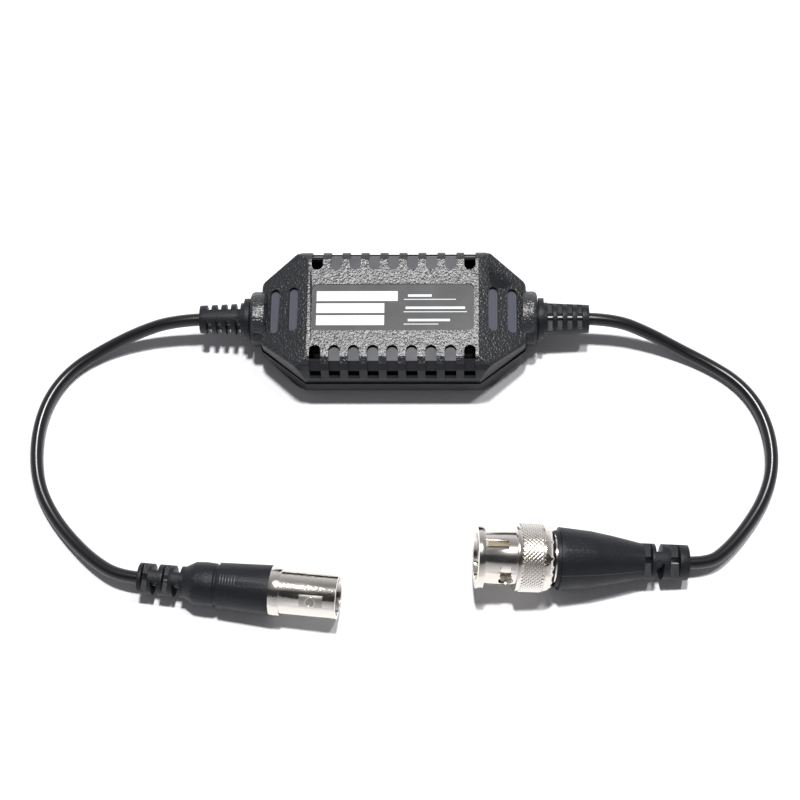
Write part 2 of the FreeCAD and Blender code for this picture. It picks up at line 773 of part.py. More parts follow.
# Strain reliefs
def strain_relief(label, side, roll):
    """A moulded relief: flange and neck in the nose, disc, then four pairs of slots."""
    bore = dim("cable_radius") + dim("fit_gap")
    flange, tail = -dim("flange_depth"), -dim("neck_tail")
    disc_end = dim("disc_gap") + dim("disc_thick")
    step_end = disc_end + dim("step_thick")
    body = turned(label, [
        (tail, bore), (tail, dim("neck_radius")), (flange - dim("flange_thick"), dim("neck_radius")),
        (flange - dim("flange_thick"), dim("flange_radius")), (flange, dim("flange_radius")),
        (flange, dim("neck_radius")),
        (dim("disc_gap"), dim("neck_radius")), (dim("disc_gap"), dim("disc_radius")),
        (disc_end, dim("disc_radius")), (disc_end, dim("step_radius")),
        (step_end, dim("step_radius")), (step_end, dim("fin_radius")),
        (dim("relief_length"), dim("tip_radius")), (dim("relief_length"), bore),
    ])
    sketch = new_sketch(body, "XY_Plane")
    web, outside = dim("relief_web") / 2, dim("disc_radius") + dim("wall")
    for number in range(int(dim("relief_slot_count").number)):
        start = dim("relief_slot_start") + number * dim("relief_slot_pitch")
        rectangle(sketch, start, web, start + dim("relief_slot_width"), outside)
        rectangle(sketch, start, -outside, start + dim("relief_slot_width"), -web)
    cut_through(body, sketch, 2 * outside)
    turn = FreeCAD.Rotation(Vector(0, 0, 1), 0 if side > 0 else 180)
    body.Placement = FreeCAD.Placement(
        Vector(side * nose_face().number, 0, dim("parting_height").number),
        turn * FreeCAD.Rotation(Vector(1, 0, 0), roll))
    return keep(label, body)


def nose_face():
    """Middle of the housing to the face of a nose."""
    return dim("housing_length") / 2 + dim("nose_length")


# Inside the housing
def sleeve_length():
    """Length of the shrink sleeve without its collars."""
    return dim("housing_length") - 2 * dim("sleeve_room")


def stub_end():
    """Middle of the housing to the end of the leads' jackets."""
    return sleeve_length() / 2 - dim("stub_inset")


def cable_end(label, side):
    """The lead inside the relief, with its jacket cut back."""
    tip = nose_face() + dim("relief_length")
    bared = stub_end() - dim("strip_length")
    turn = FreeCAD.Rotation(Vector(0, 0, 1), 0 if side > 0 else 180)
    placement = FreeCAD.Placement(Vector(0, 0, dim("parting_height").number), turn)
    return keep(label, turned(label, [
        (bared, 0), (bared, dim("dielectric_radius")), (stub_end(), dim("dielectric_radius")),
        (stub_end(), dim("cable_radius")), (tip, dim("cable_radius")), (tip, 0),
    ], placement))


def sleeve_floor():
    """Height of the lower shell's inner floor."""
    return dim("wall") + dim("fit_gap")


def board_top():
    """Height of the board's upper face."""
    return sleeve_floor() + dim("sleeve_wall") + dim("board_thick")


def inner_wires():
    """Centre conductors and twisted screens from the leads down to the board."""
    height = dim("parting_height").number
    low = board_top().number
    jacket = stub_end().number
    bared = jacket - dim("strip_length").number
    thick = dim("core_radius").number
    aside = dim("dielectric_radius").number + thick + dim("fit_gap").number / 2
    drop = 2 * dim("strip_length").number
    for name, side in (("left", -1), ("right", 1)):
        core = [(side * bared, 0, height), (side * (bared - drop), 0, height),
                (side * (bared - drop), 0, low)]
        keep(f"{name}_core_wire", tube(f"{name}_core_wire", core, thick))
        screen = [(side * jacket, aside, height), (side * (jacket - drop), aside, height),
                  (side * (jacket - drop), aside, low)]
        keep(f"{name}_braid_tail", tube(f"{name}_braid_tail", screen, thick))


def box(label, length, width, height, floor):
    """A block centred over the origin."""
    made = doc.addObject("Part::Box", label)
    bind(made, "Length", length)
    bind(made, "Width", width)
    bind(made, "Height", height)
    made.setExpression("Placement.Base.x", (-(as_size(length) / 2)).text)
    made.setExpression("Placement.Base.y", (-(as_size(width) / 2)).text)
    made.setExpression("Placement.Base.z", as_size(floor).text)
    doc.recompute()
    return made


def soft_box(label, length, width, height, floor, radius):
    """A block with every edge rounded."""
    block = box(f"{label}_block", length, width, height, floor)
    made = doc.addObject("Part::Fillet", label)
    made.Base = block
    made.Edges = [(number, radius.number, radius.number) for number in range(1, 13)]
    doc.recompute()
    return made


def shrink_sleeve():
    """The sleeve round the board, closed onto the leads at both ends."""
    thin = dim("sleeve_wall")
    width = crosswise("sleeve_side_room")
    outer = soft_box("sleeve_outside", sleeve_length(), width, dim("sleeve_height"),
                     sleeve_floor(), dim("sleeve_round"))
    inner = soft_box("sleeve_inside", sleeve_length() - 2 * thin, width - 2 * thin,
                     dim("sleeve_height") - 2 * thin, sleeve_floor() + thin, dim("sleeve_round") - thin)
    reach = sleeve_length() / 2 + dim("collar_length")
    collars = rod("sleeve_collars", dim("collar_radius"), 2 * reach, -reach)
    bore = rod("sleeve_bore", dim("cable_radius") + dim("fit_gap"), 2 * reach, -reach)
    body = fused("sleeve_solid", [outer, collars])
    room = fused("sleeve_room", [inner, bore])
    return keep("shrink_sleeve", boolean("Cut", "shrink_sleeve", body, room))


def board_length():
    """Length of the board on the flat part of the sleeve's floor."""
    return sleeve_length() - 2 * dim("sleeve_round") - 2 * dim("board_gap")


def board_width():
    """Width of the board on the flat part of the sleeve's floor."""
    return crosswise("sleeve_side_room") - 2 * dim("sleeve_round") - 2 * dim("board_gap")


def circuit_board():
    """The board on the sleeve's floor."""
    floor = sleeve_floor() + dim("sleeve_wall")
    plate = box("circuit_board", board_length(), board_width(), dim("board_thick"), floor)
    return keep("circuit_board", plate)


def core_outer():
    """Outer radius of the toroid."""
    inside = crosswise("sleeve_side_room") / 2 - dim("sleeve_wall")
    return inside - dim("core_side_gap") - dim("winding_thick")


def ring_section(sketch, grow):
    """The toroid's section, grown by the wire layer."""
    low = board_top() + dim("winding_thick")
    rectangle(sketch, core_outer() - dim("core_build") - grow, low - grow,
              core_outer() + grow, low + dim("core_height") + grow)


def toroid_core():
    """The ring ferrite."""
    body = new_body("toroid_core")
    sketch = new_sketch(body, "XZ_Plane")
    ring_section(sketch, as_size(0))
    feature(body, "Revolution", sketch, ReferenceAxis=(sketch, ["V_Axis"]), Angle=360.0)
    return keep("toroid_core", body)


def winding(label, start_angle):
    """One winding as a closed layer round its share of the ring."""
    body = new_body(label)
    sketch = new_sketch(body, "XZ_Plane")
    ring_section(sketch, dim("winding_thick"))
    ring_section(sketch, as_size(0))
    feature(body, "Revolution", sketch, ReferenceAxis=(sketch, ["V_Axis"]), Angle=dim("winding_angle"))
    body.Placement = FreeCAD.Placement(Vector(), FreeCAD.Rotation(Vector(0, 0, 1), start_angle))
    return keep(label, body)


def capacitor():
    """The coupling capacitor on the board."""
    made = doc.addObject("Part::Cylinder", "capacitor")
    bind(made, "Radius", dim("capacitor_radius"))
    bind(made, "Height", dim("capacitor_height"))
    reach = dim("capacitor_gap") + dim("capacitor_radius")
    made.setExpression("Placement.Base.x", (board_length() / 2 - reach).text)
    made.setExpression("Placement.Base.y", (board_width() / 2 - reach).text)
    made.setExpression("Placement.Base.z", board_top().text)
    return keep("capacitor", made)


# Connectors
def lying_frame(x, y, height, yaw, nose_down, roll):
    """Where a connector lies: its first station, heading, tilt and roll."""
    turn = FreeCAD.Rotation(yaw, nose_down, 0) * FreeCAD.Rotation(Vector(1, 0, 0), roll)
    return FreeCAD.Placement(Vector(x, y, height), turn)


def jack_frame():
    """The jack rests on the bulge of its boot and on the boot's front edge."""
    bulge, front = dim("jack_bulge_radius").number, dim("jack_boot_radius").number
    station = (dim("jack_bulge_start").number + dim("jack_bulge_end").number) / 2
    tilt = math.atan((front - bulge) / (dim("jack_boot_end").number - station))
    height = front * math.cos(tilt) - dim("jack_boot_end").number * math.sin(tilt)
    return lying_frame(dim("jack_x").number, dim("jack_y").number, height,
                       dim("jack_yaw").number, -math.degrees(tilt), dim("jack_roll").number)


def plug_frame():
    """The plug rests on the knurled ring's rear edge and on the end of its boot."""
    ring_radius, tail = dim("nut_knurl_radius").number, dim("plug_tail_radius").number
    run = dim("plug_tail_end").number - dim("nut_knurl_end").number
    tilt = math.atan((ring_radius - tail) / run)
    height = ring_radius * math.cos(tilt) + dim("nut_knurl_end").number * math.sin(tilt)
    return lying_frame(dim("plug_x").number, dim("plug_y").number, height,
                       dim("plug_yaw").number, math.degrees(tilt), dim("plug_roll").number)


def tail_slots(body, plane, spans):
    """Pairs of opposite slots in a boot's tail."""
    sketch = new_sketch(body, plane)
    web, outside = dim("boot_web") / 2, dim("plug_boot_radius")
    for start, end in spans:
        rectangle(sketch, start, web, end, outside)
        rectangle(sketch, start, -outside, end, -web)
    cut_through(body, sketch, 2 * outside)


def unrolled(frame, roll):
    """The same frame without the metal parts' roll."""
    return FreeCAD.Placement(frame.Base, frame.Rotation * FreeCAD.Rotation(Vector(1, 0, 0), -roll))


def jack_boot(frame):
    """Rubber boot: slotted tail, bulge, groove and a flaring front sleeve."""
    bore = dim("cable_radius") + dim("fit_gap")
    crimp = dim("ferrule_outer") + dim("fit_gap")
    seat = dim("seat_radius") + dim("fit_gap")
    seat_start = dim("jack_boot_end") - dim("seat_length")
    crimp_start = seat_start - dim("stem_length") - dim("ferrule_length") / 3
    body = turned("jack_boot", [
        (0, bore), (0, dim("jack_tail_radius")),
        (dim("jack_neck_end"), dim("jack_tail_radius") + dim("fit_gap")),
        (dim("jack_bulge_start") - 1.0, (dim("jack_tail_radius") + dim("jack_bulge_radius")) / 2),
        (dim("jack_bulge_start"), dim("jack_bulge_radius") - 0.15),
        ((dim("jack_bulge_start") + dim("jack_bulge_end")) / 2, dim("jack_bulge_radius")),
        (dim("jack_bulge_end"), dim("jack_bulge_radius") - 0.1),
        (dim("jack_bulge_end") + 0.3, dim("jack_groove_radius")),
        (dim("jack_grip_start") - 0.2, dim("jack_groove_radius")),
        (dim("jack_grip_start"), dim("jack_grip_radius")),
        (dim("jack_boot_end"), dim("jack_boot_radius")),
        (dim("jack_boot_end"), seat), (seat_start, seat), (seat_start, crimp),
        (crimp_start, crimp), (crimp_start, bore),
    ], unrolled(frame, dim("jack_roll").number))
    tail_slots(body, "XZ_Plane", [(0.75, 2.25), (5.4, 6.7)])
    tail_slots(body, "XY_Plane", [(3.05, 4.35), (7.7, 9.2)])
    return keep("jack_boot", body)


def jack_shell(frame):
    """Metal jack: crimp stem, seat in the boot, flange and barrel with two lugs."""
    seat_start = dim("jack_boot_end") - dim("seat_length")
    stem_start = seat_start - dim("stem_length")
    body = turned("jack_shell", [
        (stem_start, 0), (stem_start, dim("stem_radius")), (seat_start, dim("stem_radius")),
        (seat_start, dim("seat_radius")), (dim("jack_boot_end"), dim("seat_radius")),
        (dim("jack_boot_end"), dim("jack_boot_radius")), (dim("jack_flange_end"), dim("jack_boot_radius")),
        (dim("jack_flange_end"), dim("jack_barrel_radius")),
        (dim("jack_mouth"), dim("jack_barrel_radius")), (dim("jack_mouth"), 0),
    ], frame)
    lugs = new_sketch(body, "XY_Plane")
    circle(lugs, dim("jack_lug_station"), 0, dim("lug_radius"))
    pad(body, lugs, 2 * dim("lug_reach"), "Symmetric")
    bore = new_sketch(body, "XY_Plane")
    floor = dim("jack_flange_end") - dim("finger_slot")
    back = seat_start + dim("wall")
    rear = dim("jack_nose_radius") + 2 * dim("fit_gap")
    ahead = dim("jack_mouth") + dim("wall")
    polygon(bore, [(stem_start - dim("wall"), 0), (stem_start - dim("wall"), dim("stem_bore")),
                   (back, dim("stem_bore")), (back, rear), (floor, rear),
                   (floor, dim("jack_bore_radius")), (ahead, dim("jack_bore_radius")), (ahead, 0)])
    feature(body, "Groove", bore, ReferenceAxis=(bore, ["H_Axis"]), Angle=360.0)
    return keep("jack_shell", body)


def jack_inside(frame):
    """Dielectric, socket contact, crimp ferrule and the end of the lead inside the jack."""
    seat_start = dim("jack_boot_end") - dim("seat_length")
    stem_start = seat_start - dim("stem_length")
    floor = dim("jack_flange_end") - dim("finger_slot")
    back = seat_start + dim("wall")
    hole = dim("contact_radius") + dim("fit_gap")
    disc = floor + dim("wall")
    keep("jack_insulator", turned("jack_insulator", [
        (back, hole), (back, dim("jack_nose_radius")), (floor, dim("jack_nose_radius")),
        (floor, dim("jack_bore_radius") - dim("fit_gap")), (disc, dim("jack_bore_radius") - dim("fit_gap")),
        (disc, dim("jack_nose_radius")), (dim("jack_nose_end"), dim("jack_nose_radius")),
        (dim("jack_nose_end"), hole),
    ], frame))
    keep("jack_contact", turned("jack_contact", [
        (back, 0), (back, dim("contact_radius")), (dim("jack_contact_end"), dim("contact_radius")),
        (dim("jack_contact_end"), dim("socket_radius")), (dim("jack_lug_station"), dim("socket_radius")),
        (dim("jack_lug_station"), 0),
    ], frame))
    start = stem_start - dim("ferrule_length") / 3
    keep("jack_ferrule", ring("jack_ferrule", start, start + dim("ferrule_length"),
                              dim("ferrule_inner"), dim("ferrule_outer"), frame))
    keep("jack_cable_end", turned("jack_cable_end", [
        (0, 0), (0, dim("cable_radius")), (stem_start, dim("cable_radius")),
        (stem_start, dim("dielectric_radius")), (back, dim("dielectric_radius")), (back, 0),
    ], frame))


def plug_boot(frame):
    """Rubber boot: front step, long ogive taper and slotted tail."""
    bore = dim("cable_radius") + dim("fit_gap")
    crimp = dim("ferrule_outer") + dim("fit_gap")
    seat = dim("body_collar_radius") + dim("fit_gap")
    step_end = dim("plug_boot_start") + dim("plug_step_thick")
    crimp_end = dim("body_collar_end") + dim("ferrule_length") + dim("wall")
    body = turned("plug_boot", [
        (dim("plug_boot_start"), seat), (dim("plug_boot_start"), dim("plug_step_radius")),
        (step_end, dim("plug_step_radius")), (step_end, dim("plug_boot_radius")),
        (dim("plug_belly_station"), dim("plug_belly_radius")),
        (dim("plug_taper_station"), dim("plug_taper_radius")),
        (dim("plug_boot_end"), dim("plug_tail_radius") + 2 * dim("fit_gap")),
        (dim("plug_tail_end"), dim("plug_tail_radius")), (dim("plug_tail_end"), bore),
        (crimp_end, bore), (crimp_end, crimp), (dim("body_collar_end"), crimp),
        (dim("body_collar_end"), seat),
    ], unrolled(frame, dim("plug_roll").number))
    end = dim("plug_boot_end")
    tail_slots(body, "XZ_Plane", [(end + 0.4, end + 2.1), (end + 5.9, end + 8.0)])
    tail_slots(body, "XY_Plane", [(end + 2.9, end + 4.5)])
    return keep("plug_boot", body)


def plug_body(frame):
    """Metal plug body: slit inner tube, flange, neck for the nut, collar and crimp stem."""
    flange_end = dim("body_flange_start") + dim("body_flange_thick")
    collar = dim("nut_length") + dim("nut_play")
    stem_end = dim("body_collar_end") + dim("stem_length")
    body = turned("plug_body", [
        (dim("body_front"), 0), (dim("body_front"), dim("body_tube_radius")),
        (dim("body_flange_start"), dim("body_tube_radius")),
        (dim("body_flange_start"), dim("nut_bore") - dim("running_gap")),
        (flange_end, dim("nut_bore") - dim("running_gap")), (flange_end, dim("body_neck_radius")),
        (collar, dim("body_neck_radius")), (collar, dim("body_collar_radius")),
        (dim("body_collar_end"), dim("body_collar_radius")), (dim("body_collar_end"), dim("stem_radius")),
        (stem_end, dim("stem_radius")), (stem_end, 0),
    ], frame)
    bore = new_sketch(body, "XY_Plane")
    polygon(bore, [(0, 0), (0, dim("body_tube_bore")), (dim("plug_insulator_end"), dim("body_tube_bore")),
                   (dim("plug_insulator_end"), dim("stem_bore")),
                   (stem_end + dim("wall"), dim("stem_bore")), (stem_end + dim("wall"), 0)])
    feature(body, "Groove", bore, ReferenceAxis=(bore, ["H_Axis"]), Angle=360.0)
    for plane in ("XY_Plane", "XZ_Plane"):
        slit = new_sketch(body, plane)
        rectangle(slit, 0, -dim("finger_slot") / 2, dim("finger_end"), dim("finger_slot") / 2)
        cut_through(body, slit, 3 * dim("body_tube_radius"))
    return keep("plug_body", body)


def plug_inside(frame):
    """Dielectric, pin, gasket, ferrule and the end of the lead inside the plug."""
    hole = dim("contact_radius") + dim("fit_gap")
    keep("plug_insulator", ring("plug_insulator", dim("plug_insulator_start"), dim("plug_insulator_end"),
                                hole, dim("body_tube_bore") - dim("fit_gap"), frame))
    keep("plug_pin", turned("plug_pin", [
        (dim("pin_tip"), 0), (dim("pin_tip"), dim("pin_radius") / 3),
        (dim("pin_tip") + dim("pin_radius"), dim("pin_radius")),
        (dim("plug_insulator_start"), dim("pin_radius")),
        (dim("plug_insulator_start"), dim("contact_radius")), (dim("pin_end"), dim("contact_radius")),
        (dim("pin_end"), 0),
    ], frame))
    gasket_start = dim("body_flange_start") - dim("gasket_thick")
    keep("plug_gasket", ring("plug_gasket", gasket_start, dim("body_flange_start"),
                             dim("body_tube_radius") + dim("fit_gap"),
                             dim("nut_bore") - dim("running_gap"), frame))
    start = dim("body_collar_end") + dim("wall") / 3
    keep("plug_ferrule", ring("plug_ferrule", start, start + dim("ferrule_length"),
                              dim("ferrule_inner"), dim("ferrule_outer"), frame))
    stem_end = dim("body_collar_end") + dim("stem_length")
    keep("plug_cable_end", turned("plug_cable_end", [
        (dim("pin_end"), 0), (dim("pin_end"), dim("dielectric_radius")),
        (stem_end, dim("dielectric_radius")), (stem_end, dim("cable_radius")),
        (dim("plug_tail_end"), dim("cable_radius")), (dim("plug_tail_end"), 0),
    ], frame))


def nut_springing(frame):
    """Conical spring washer against the body's flange and the thrust washer in the nut."""
    flange_end = dim("body_flange_start") + dim("body_flange_thick")
    inner = dim("body_neck_radius") + dim("running_gap")
    outer = dim("nut_bore") - dim("running_gap")
    thick = dim("spring_thick")
    keep("spring_washer", turned("spring_washer", [
        (flange_end, outer), (flange_end + thick, outer),
        (flange_end + dim("spring_height"), inner), (flange_end + dim("spring_height") - thick, inner),
    ], frame))
    washer_end = dim("nut_bore_end") - dim("fit_gap")
    keep("thrust_washer", ring("thrust_washer", washer_end - dim("washer_thick"), washer_end,
                               inner, outer, frame))


def groove_block(station, angle, along, across, depth_from, depth_to, slant):
    """One block of a bayonet groove, at a station and an angle from the axis' upright."""
    block = Part.makeBox(along, across, depth_to - depth_from, Vector(-along / 2, -across / 2, depth_from))
    block.rotate(Vector(), Vector(0, 0, 1), slant)
    block.translate(Vector(station, 0, 0))
    block.rotate(Vector(), Vector(1, 0, 0), angle)
    return block


def bayonet_cutters(label):
    """Entry channels, ramps and lock windows of both bayonet grooves."""
    width = dim("bayonet_width").number
    inner = dim("nut_bore").number - dim("wall").number
    blind = dim("bayonet_depth").number
    through = dim("nut_knurl_radius").number
    flange = dim("nut_flange_thick").number
    low, high = dim("bayonet_low").number, dim("bayonet_high").number
    turn = dim("bayonet_turn").number
    sleeve = dim("nut_sleeve_radius").number
    steps = 8
    pitch = turn / steps
    arc = math.radians(pitch) * sleeve
    rise = (high - low) / steps
    slant = math.degrees(math.atan2(rise, arc))
    chord = math.hypot(arc, rise) + dim("finger_slot").number
    pieces = []
    for half in (0, 180):
        entry = half - turn / 2
        pieces.append(groove_block(low / 2, entry, low + width, width, inner, blind, 0))
        window = (flange + low + width / 2) / 2
        pieces.append(groove_block(window, entry, low + width / 2 - flange, width, inner, through, 0))
        for number in range(steps + 1):
            depth = through if number > steps / 2 else blind
            pieces.append(groove_block(low + rise * number, entry + pitch * number, width, chord,
                                       inner, depth, -slant))
        lock = Part.makeCylinder(0.68 * width, through - inner, Vector(0, 0, inner), Vector(0, 0, 1))
        lock.translate(Vector(high, 0, 0))
        lock.rotate(Vector(), Vector(1, 0, 0), entry + turn)
        pieces.append(lock)
    made = doc.addObject("Part::Feature", label)
    made.Shape = pieces[0].multiFuse(pieces[1:])
    return made


def coupling_nut(frame):
    """The bayonet nut: flange, sleeve with two cam grooves, knurled ring and rear flange."""
    rear = dim("body_neck_radius") + dim("running_gap")
    tail = dim("nut_length") - dim("nut_knurl_end")
    root = dim("nut_knurl_radius") - dim("knurl_depth")
    knurl_start = dim("nut_sleeve_end") + dim("knurl_front_rim")
    knurl_stop = dim("nut_knurl_end") - dim("knurl_rear_rim")
    body = turned("nut_form", [
        (0, dim("nut_bore")), (0, dim("nut_flange_radius")),
        (dim("nut_flange_thick"), dim("nut_flange_radius")),
        (dim("nut_flange_thick"), dim("nut_sleeve_radius")),
        (dim("nut_sleeve_end"), dim("nut_sleeve_radius")),
        (dim("nut_sleeve_end"), dim("nut_knurl_radius")), (knurl_start, dim("nut_knurl_radius")),
        (knurl_start, root), (knurl_stop, root), (knurl_stop, dim("nut_knurl_radius")),
        (dim("nut_knurl_end"), dim("nut_knurl_radius")),
        (dim("nut_knurl_end") + 2 * tail / 3, (2 * dim("nut_knurl_radius") + dim("nut_tail_radius")) / 3),
        (dim("nut_length"), dim("nut_tail_radius")), (dim("nut_length"), rear),
        (dim("nut_bore_end"), rear), (dim("nut_bore_end"), dim("nut_bore")),
    ])
    made = boolean("Cut", "coupling_nut", body, bayonet_cutters("bayonet_cutters"))
    made.Placement = frame
    return keep("coupling_nut", made)


# Leads
def cord_path(points):
    """Straight runs joined by tangent arcs, each as large as its two runs allow."""
    edges = []
    radii = []
    begin = points[0]
    for before, corner, after in zip(points, points[1:], points[2:]):
        back = (before - corner).normalize()
        ahead = (after - corner).normalize()
        set_back = 0.45 * min((before - corner).Length, (after - corner).Length)
        half_turn = (math.pi - back.getAngle(ahead)) / 2
        radius = set_back / math.tan(half_turn)
        start, finish = corner + back * set_back, corner + ahead * set_back
        inward = (back + ahead).normalize()
        middle = corner + inward * (radius / math.cos(half_turn) - radius)
        edges.append(Part.LineSegment(begin, start).toShape())
        edges.append(Part.Arc(start, middle, finish).toShape())
        radii.append(radius)
        begin = finish
    edges.append(Part.LineSegment(begin, points[-1]).toShape())
    return Part.Wire(edges), radii


def tube(label, places, radius):
    """A round tube along the runs and arcs between the given places."""
    points = [Vector(*place) for place in places]
    path, radii = cord_path(points)
    profile = Part.Wire([Part.Circle(points[0], points[1] - points[0], radius).toShape()])
    made = doc.addObject("Part::Feature", label)
    made.Shape = path.makePipeShell([profile], True, False)
    share = made.Shape.Volume / (math.pi * radius ** 2 * path.Length)
    print(f"{label}: length {path.Length:.1f}, volume over section times length {share:.4f}, "
          f"radii {', '.join(f'{value:.1f}' for value in radii)}")
    return made


def leads(jack, plug):
    """Both free leads, from the reliefs' ends to the boots' ends."""
    tip = (nose_face() + dim("relief_length")).number
    height = dim("parting_height").number
    radius = dim("cable_radius").number
    jack_in = jack.multVec(Vector(-JACK_LEAD_IN, 0, 0))
    left = [(-tip, 0, height)] + LEFT_ROUTE + [tuple(jack_in), tuple(jack.Base)]
    keep("left_cable", tube("left_cable", left, radius))
    tail = dim("plug_tail_end").number
    plug_in = plug.multVec(Vector(tail + PLUG_LEAD_IN, 0, 0))
    plug_end = plug.multVec(Vector(tail, 0, 0))
    right = [(tip, 0, height)] + RIGHT_ROUTE + [tuple(plug_in), tuple(plug_end)]
    keep("right_cable", tube("right_cable", right, radius))
    for name, route in (("left", left), ("right", right)):
        print(name, "route", [tuple(round(value, 2) for value in place) for place in route])


def build():
    """Makes every piece."""
    upper_shell()
    lower_shell()
    label_plate()
    strain_relief("left_strain_relief", -1, 0)
    strain_relief("right_strain_relief", 1, 90)
    cable_end("left_cable_end", -1)
    cable_end("right_cable_end", 1)
    inner_wires()
    shrink_sleeve()
    circuit_board()
    toroid_core()
    gap = 180 - dim("winding_angle").number
    winding("primary_winding", gap / 2)
    winding("secondary_winding", 180 + gap / 2)
    capacitor()
    jack = jack_frame()
    jack_boot(jack)
    jack_shell(jack)
    jack_inside(jack)
    plug = plug_frame()
    plug_boot(plug)
    plug_body(plug)
    plug_inside(plug)
    nut_springing(plug)
    coupling_nut(plug)
    leads(jack, plug)
    ahead = plug.Rotation.multVec(Vector(1, 0, 0))
    print("plug front", tuple(plug.Base), "axis", tuple(ahead))
    print("jack tail", tuple(jack.Base), "axis", tuple(jack.Rotation.multVec(Vector(1, 0, 0))))


def check_and_export():
    """Stops on a failed object, then writes each piece."""
    doc.recompute()
    for item in doc.Objects:
        if "Invalid" in item.State or "Error" in item.State:
            raise RuntimeError(f"{item.Label} failed: {item.State}")
    for label, item in NODES.items():
        shape = item.Shape
        if shape.isNull() or not shape.isValid() or shape.Volume <= 0:
            raise RuntimeError(f"{label} has no valid solid")
    for label, item in NODES.items():
        item.Shape.exportStep(f"parts/{label}.step")
        limits = item.Shape.BoundBox
        print(f"{label}: solids {len(item.Shape.Solids)}, volume {item.Shape.Volume:.1f}, "
              f"X {limits.XMin:.2f} {limits.XMax:.2f}, Y {limits.YMin:.2f} {limits.YMax:.2f}, "
              f"Z {limits.ZMin:.2f} {limits.ZMax:.2f}")


build()
check_and_export()
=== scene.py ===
"""Looks of an inline ground loop isolator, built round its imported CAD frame.

Metres, in the row frame: X along the housing, Y to the back, Z up, floor at Z 0.
"""

import json
import logging
import math
from dataclasses import dataclass, field, replace
from enum import Enum
from typing import Callable

import bmesh
import bpy
from mathutils import Matrix, Vector

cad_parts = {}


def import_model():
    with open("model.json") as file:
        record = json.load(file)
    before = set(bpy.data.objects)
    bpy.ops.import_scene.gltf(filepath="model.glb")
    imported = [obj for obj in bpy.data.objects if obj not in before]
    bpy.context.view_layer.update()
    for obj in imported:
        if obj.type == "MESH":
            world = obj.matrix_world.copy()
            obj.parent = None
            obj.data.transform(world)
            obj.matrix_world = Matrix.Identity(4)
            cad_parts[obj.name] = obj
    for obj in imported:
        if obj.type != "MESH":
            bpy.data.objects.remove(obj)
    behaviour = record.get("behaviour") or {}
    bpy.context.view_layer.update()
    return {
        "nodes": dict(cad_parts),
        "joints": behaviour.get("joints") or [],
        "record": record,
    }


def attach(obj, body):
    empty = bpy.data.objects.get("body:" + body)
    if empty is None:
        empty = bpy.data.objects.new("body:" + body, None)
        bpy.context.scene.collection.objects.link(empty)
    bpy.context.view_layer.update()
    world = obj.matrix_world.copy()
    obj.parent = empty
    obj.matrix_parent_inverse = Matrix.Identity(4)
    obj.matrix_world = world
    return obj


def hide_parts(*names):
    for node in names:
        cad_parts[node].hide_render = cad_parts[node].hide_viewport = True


MM = 0.001
LOG = logging.getLogger("ground_loop_isolator")


class Ride(Enum):
    """CAD bodies that pieces ride on."""

    ISOLATOR = "isolator"
    CARRIER = "nut_carrier"
    NUT = "nut"


class Slot(Enum):
    """Material slots of the record."""

    HOUSING = "housing_plastic"
    LABEL = "label_film"
    RUBBER = "moulded_rubber"
    JACKET = "cable_jacket"
    COPPER = "copper_wire"
    SLEEVE = "sleeve_film"
    BOARD = "board_laminate"
    FERRITE = "ferrite"
    CAPACITOR = "capacitor_coat"
    NICKEL = "nickel_plate"
    DIELECTRIC = "white_dielectric"
    GILT = "gilt_contact"
    GASKET = "gasket_rubber"
    SPRING = "spring_steel"


# Shader groups


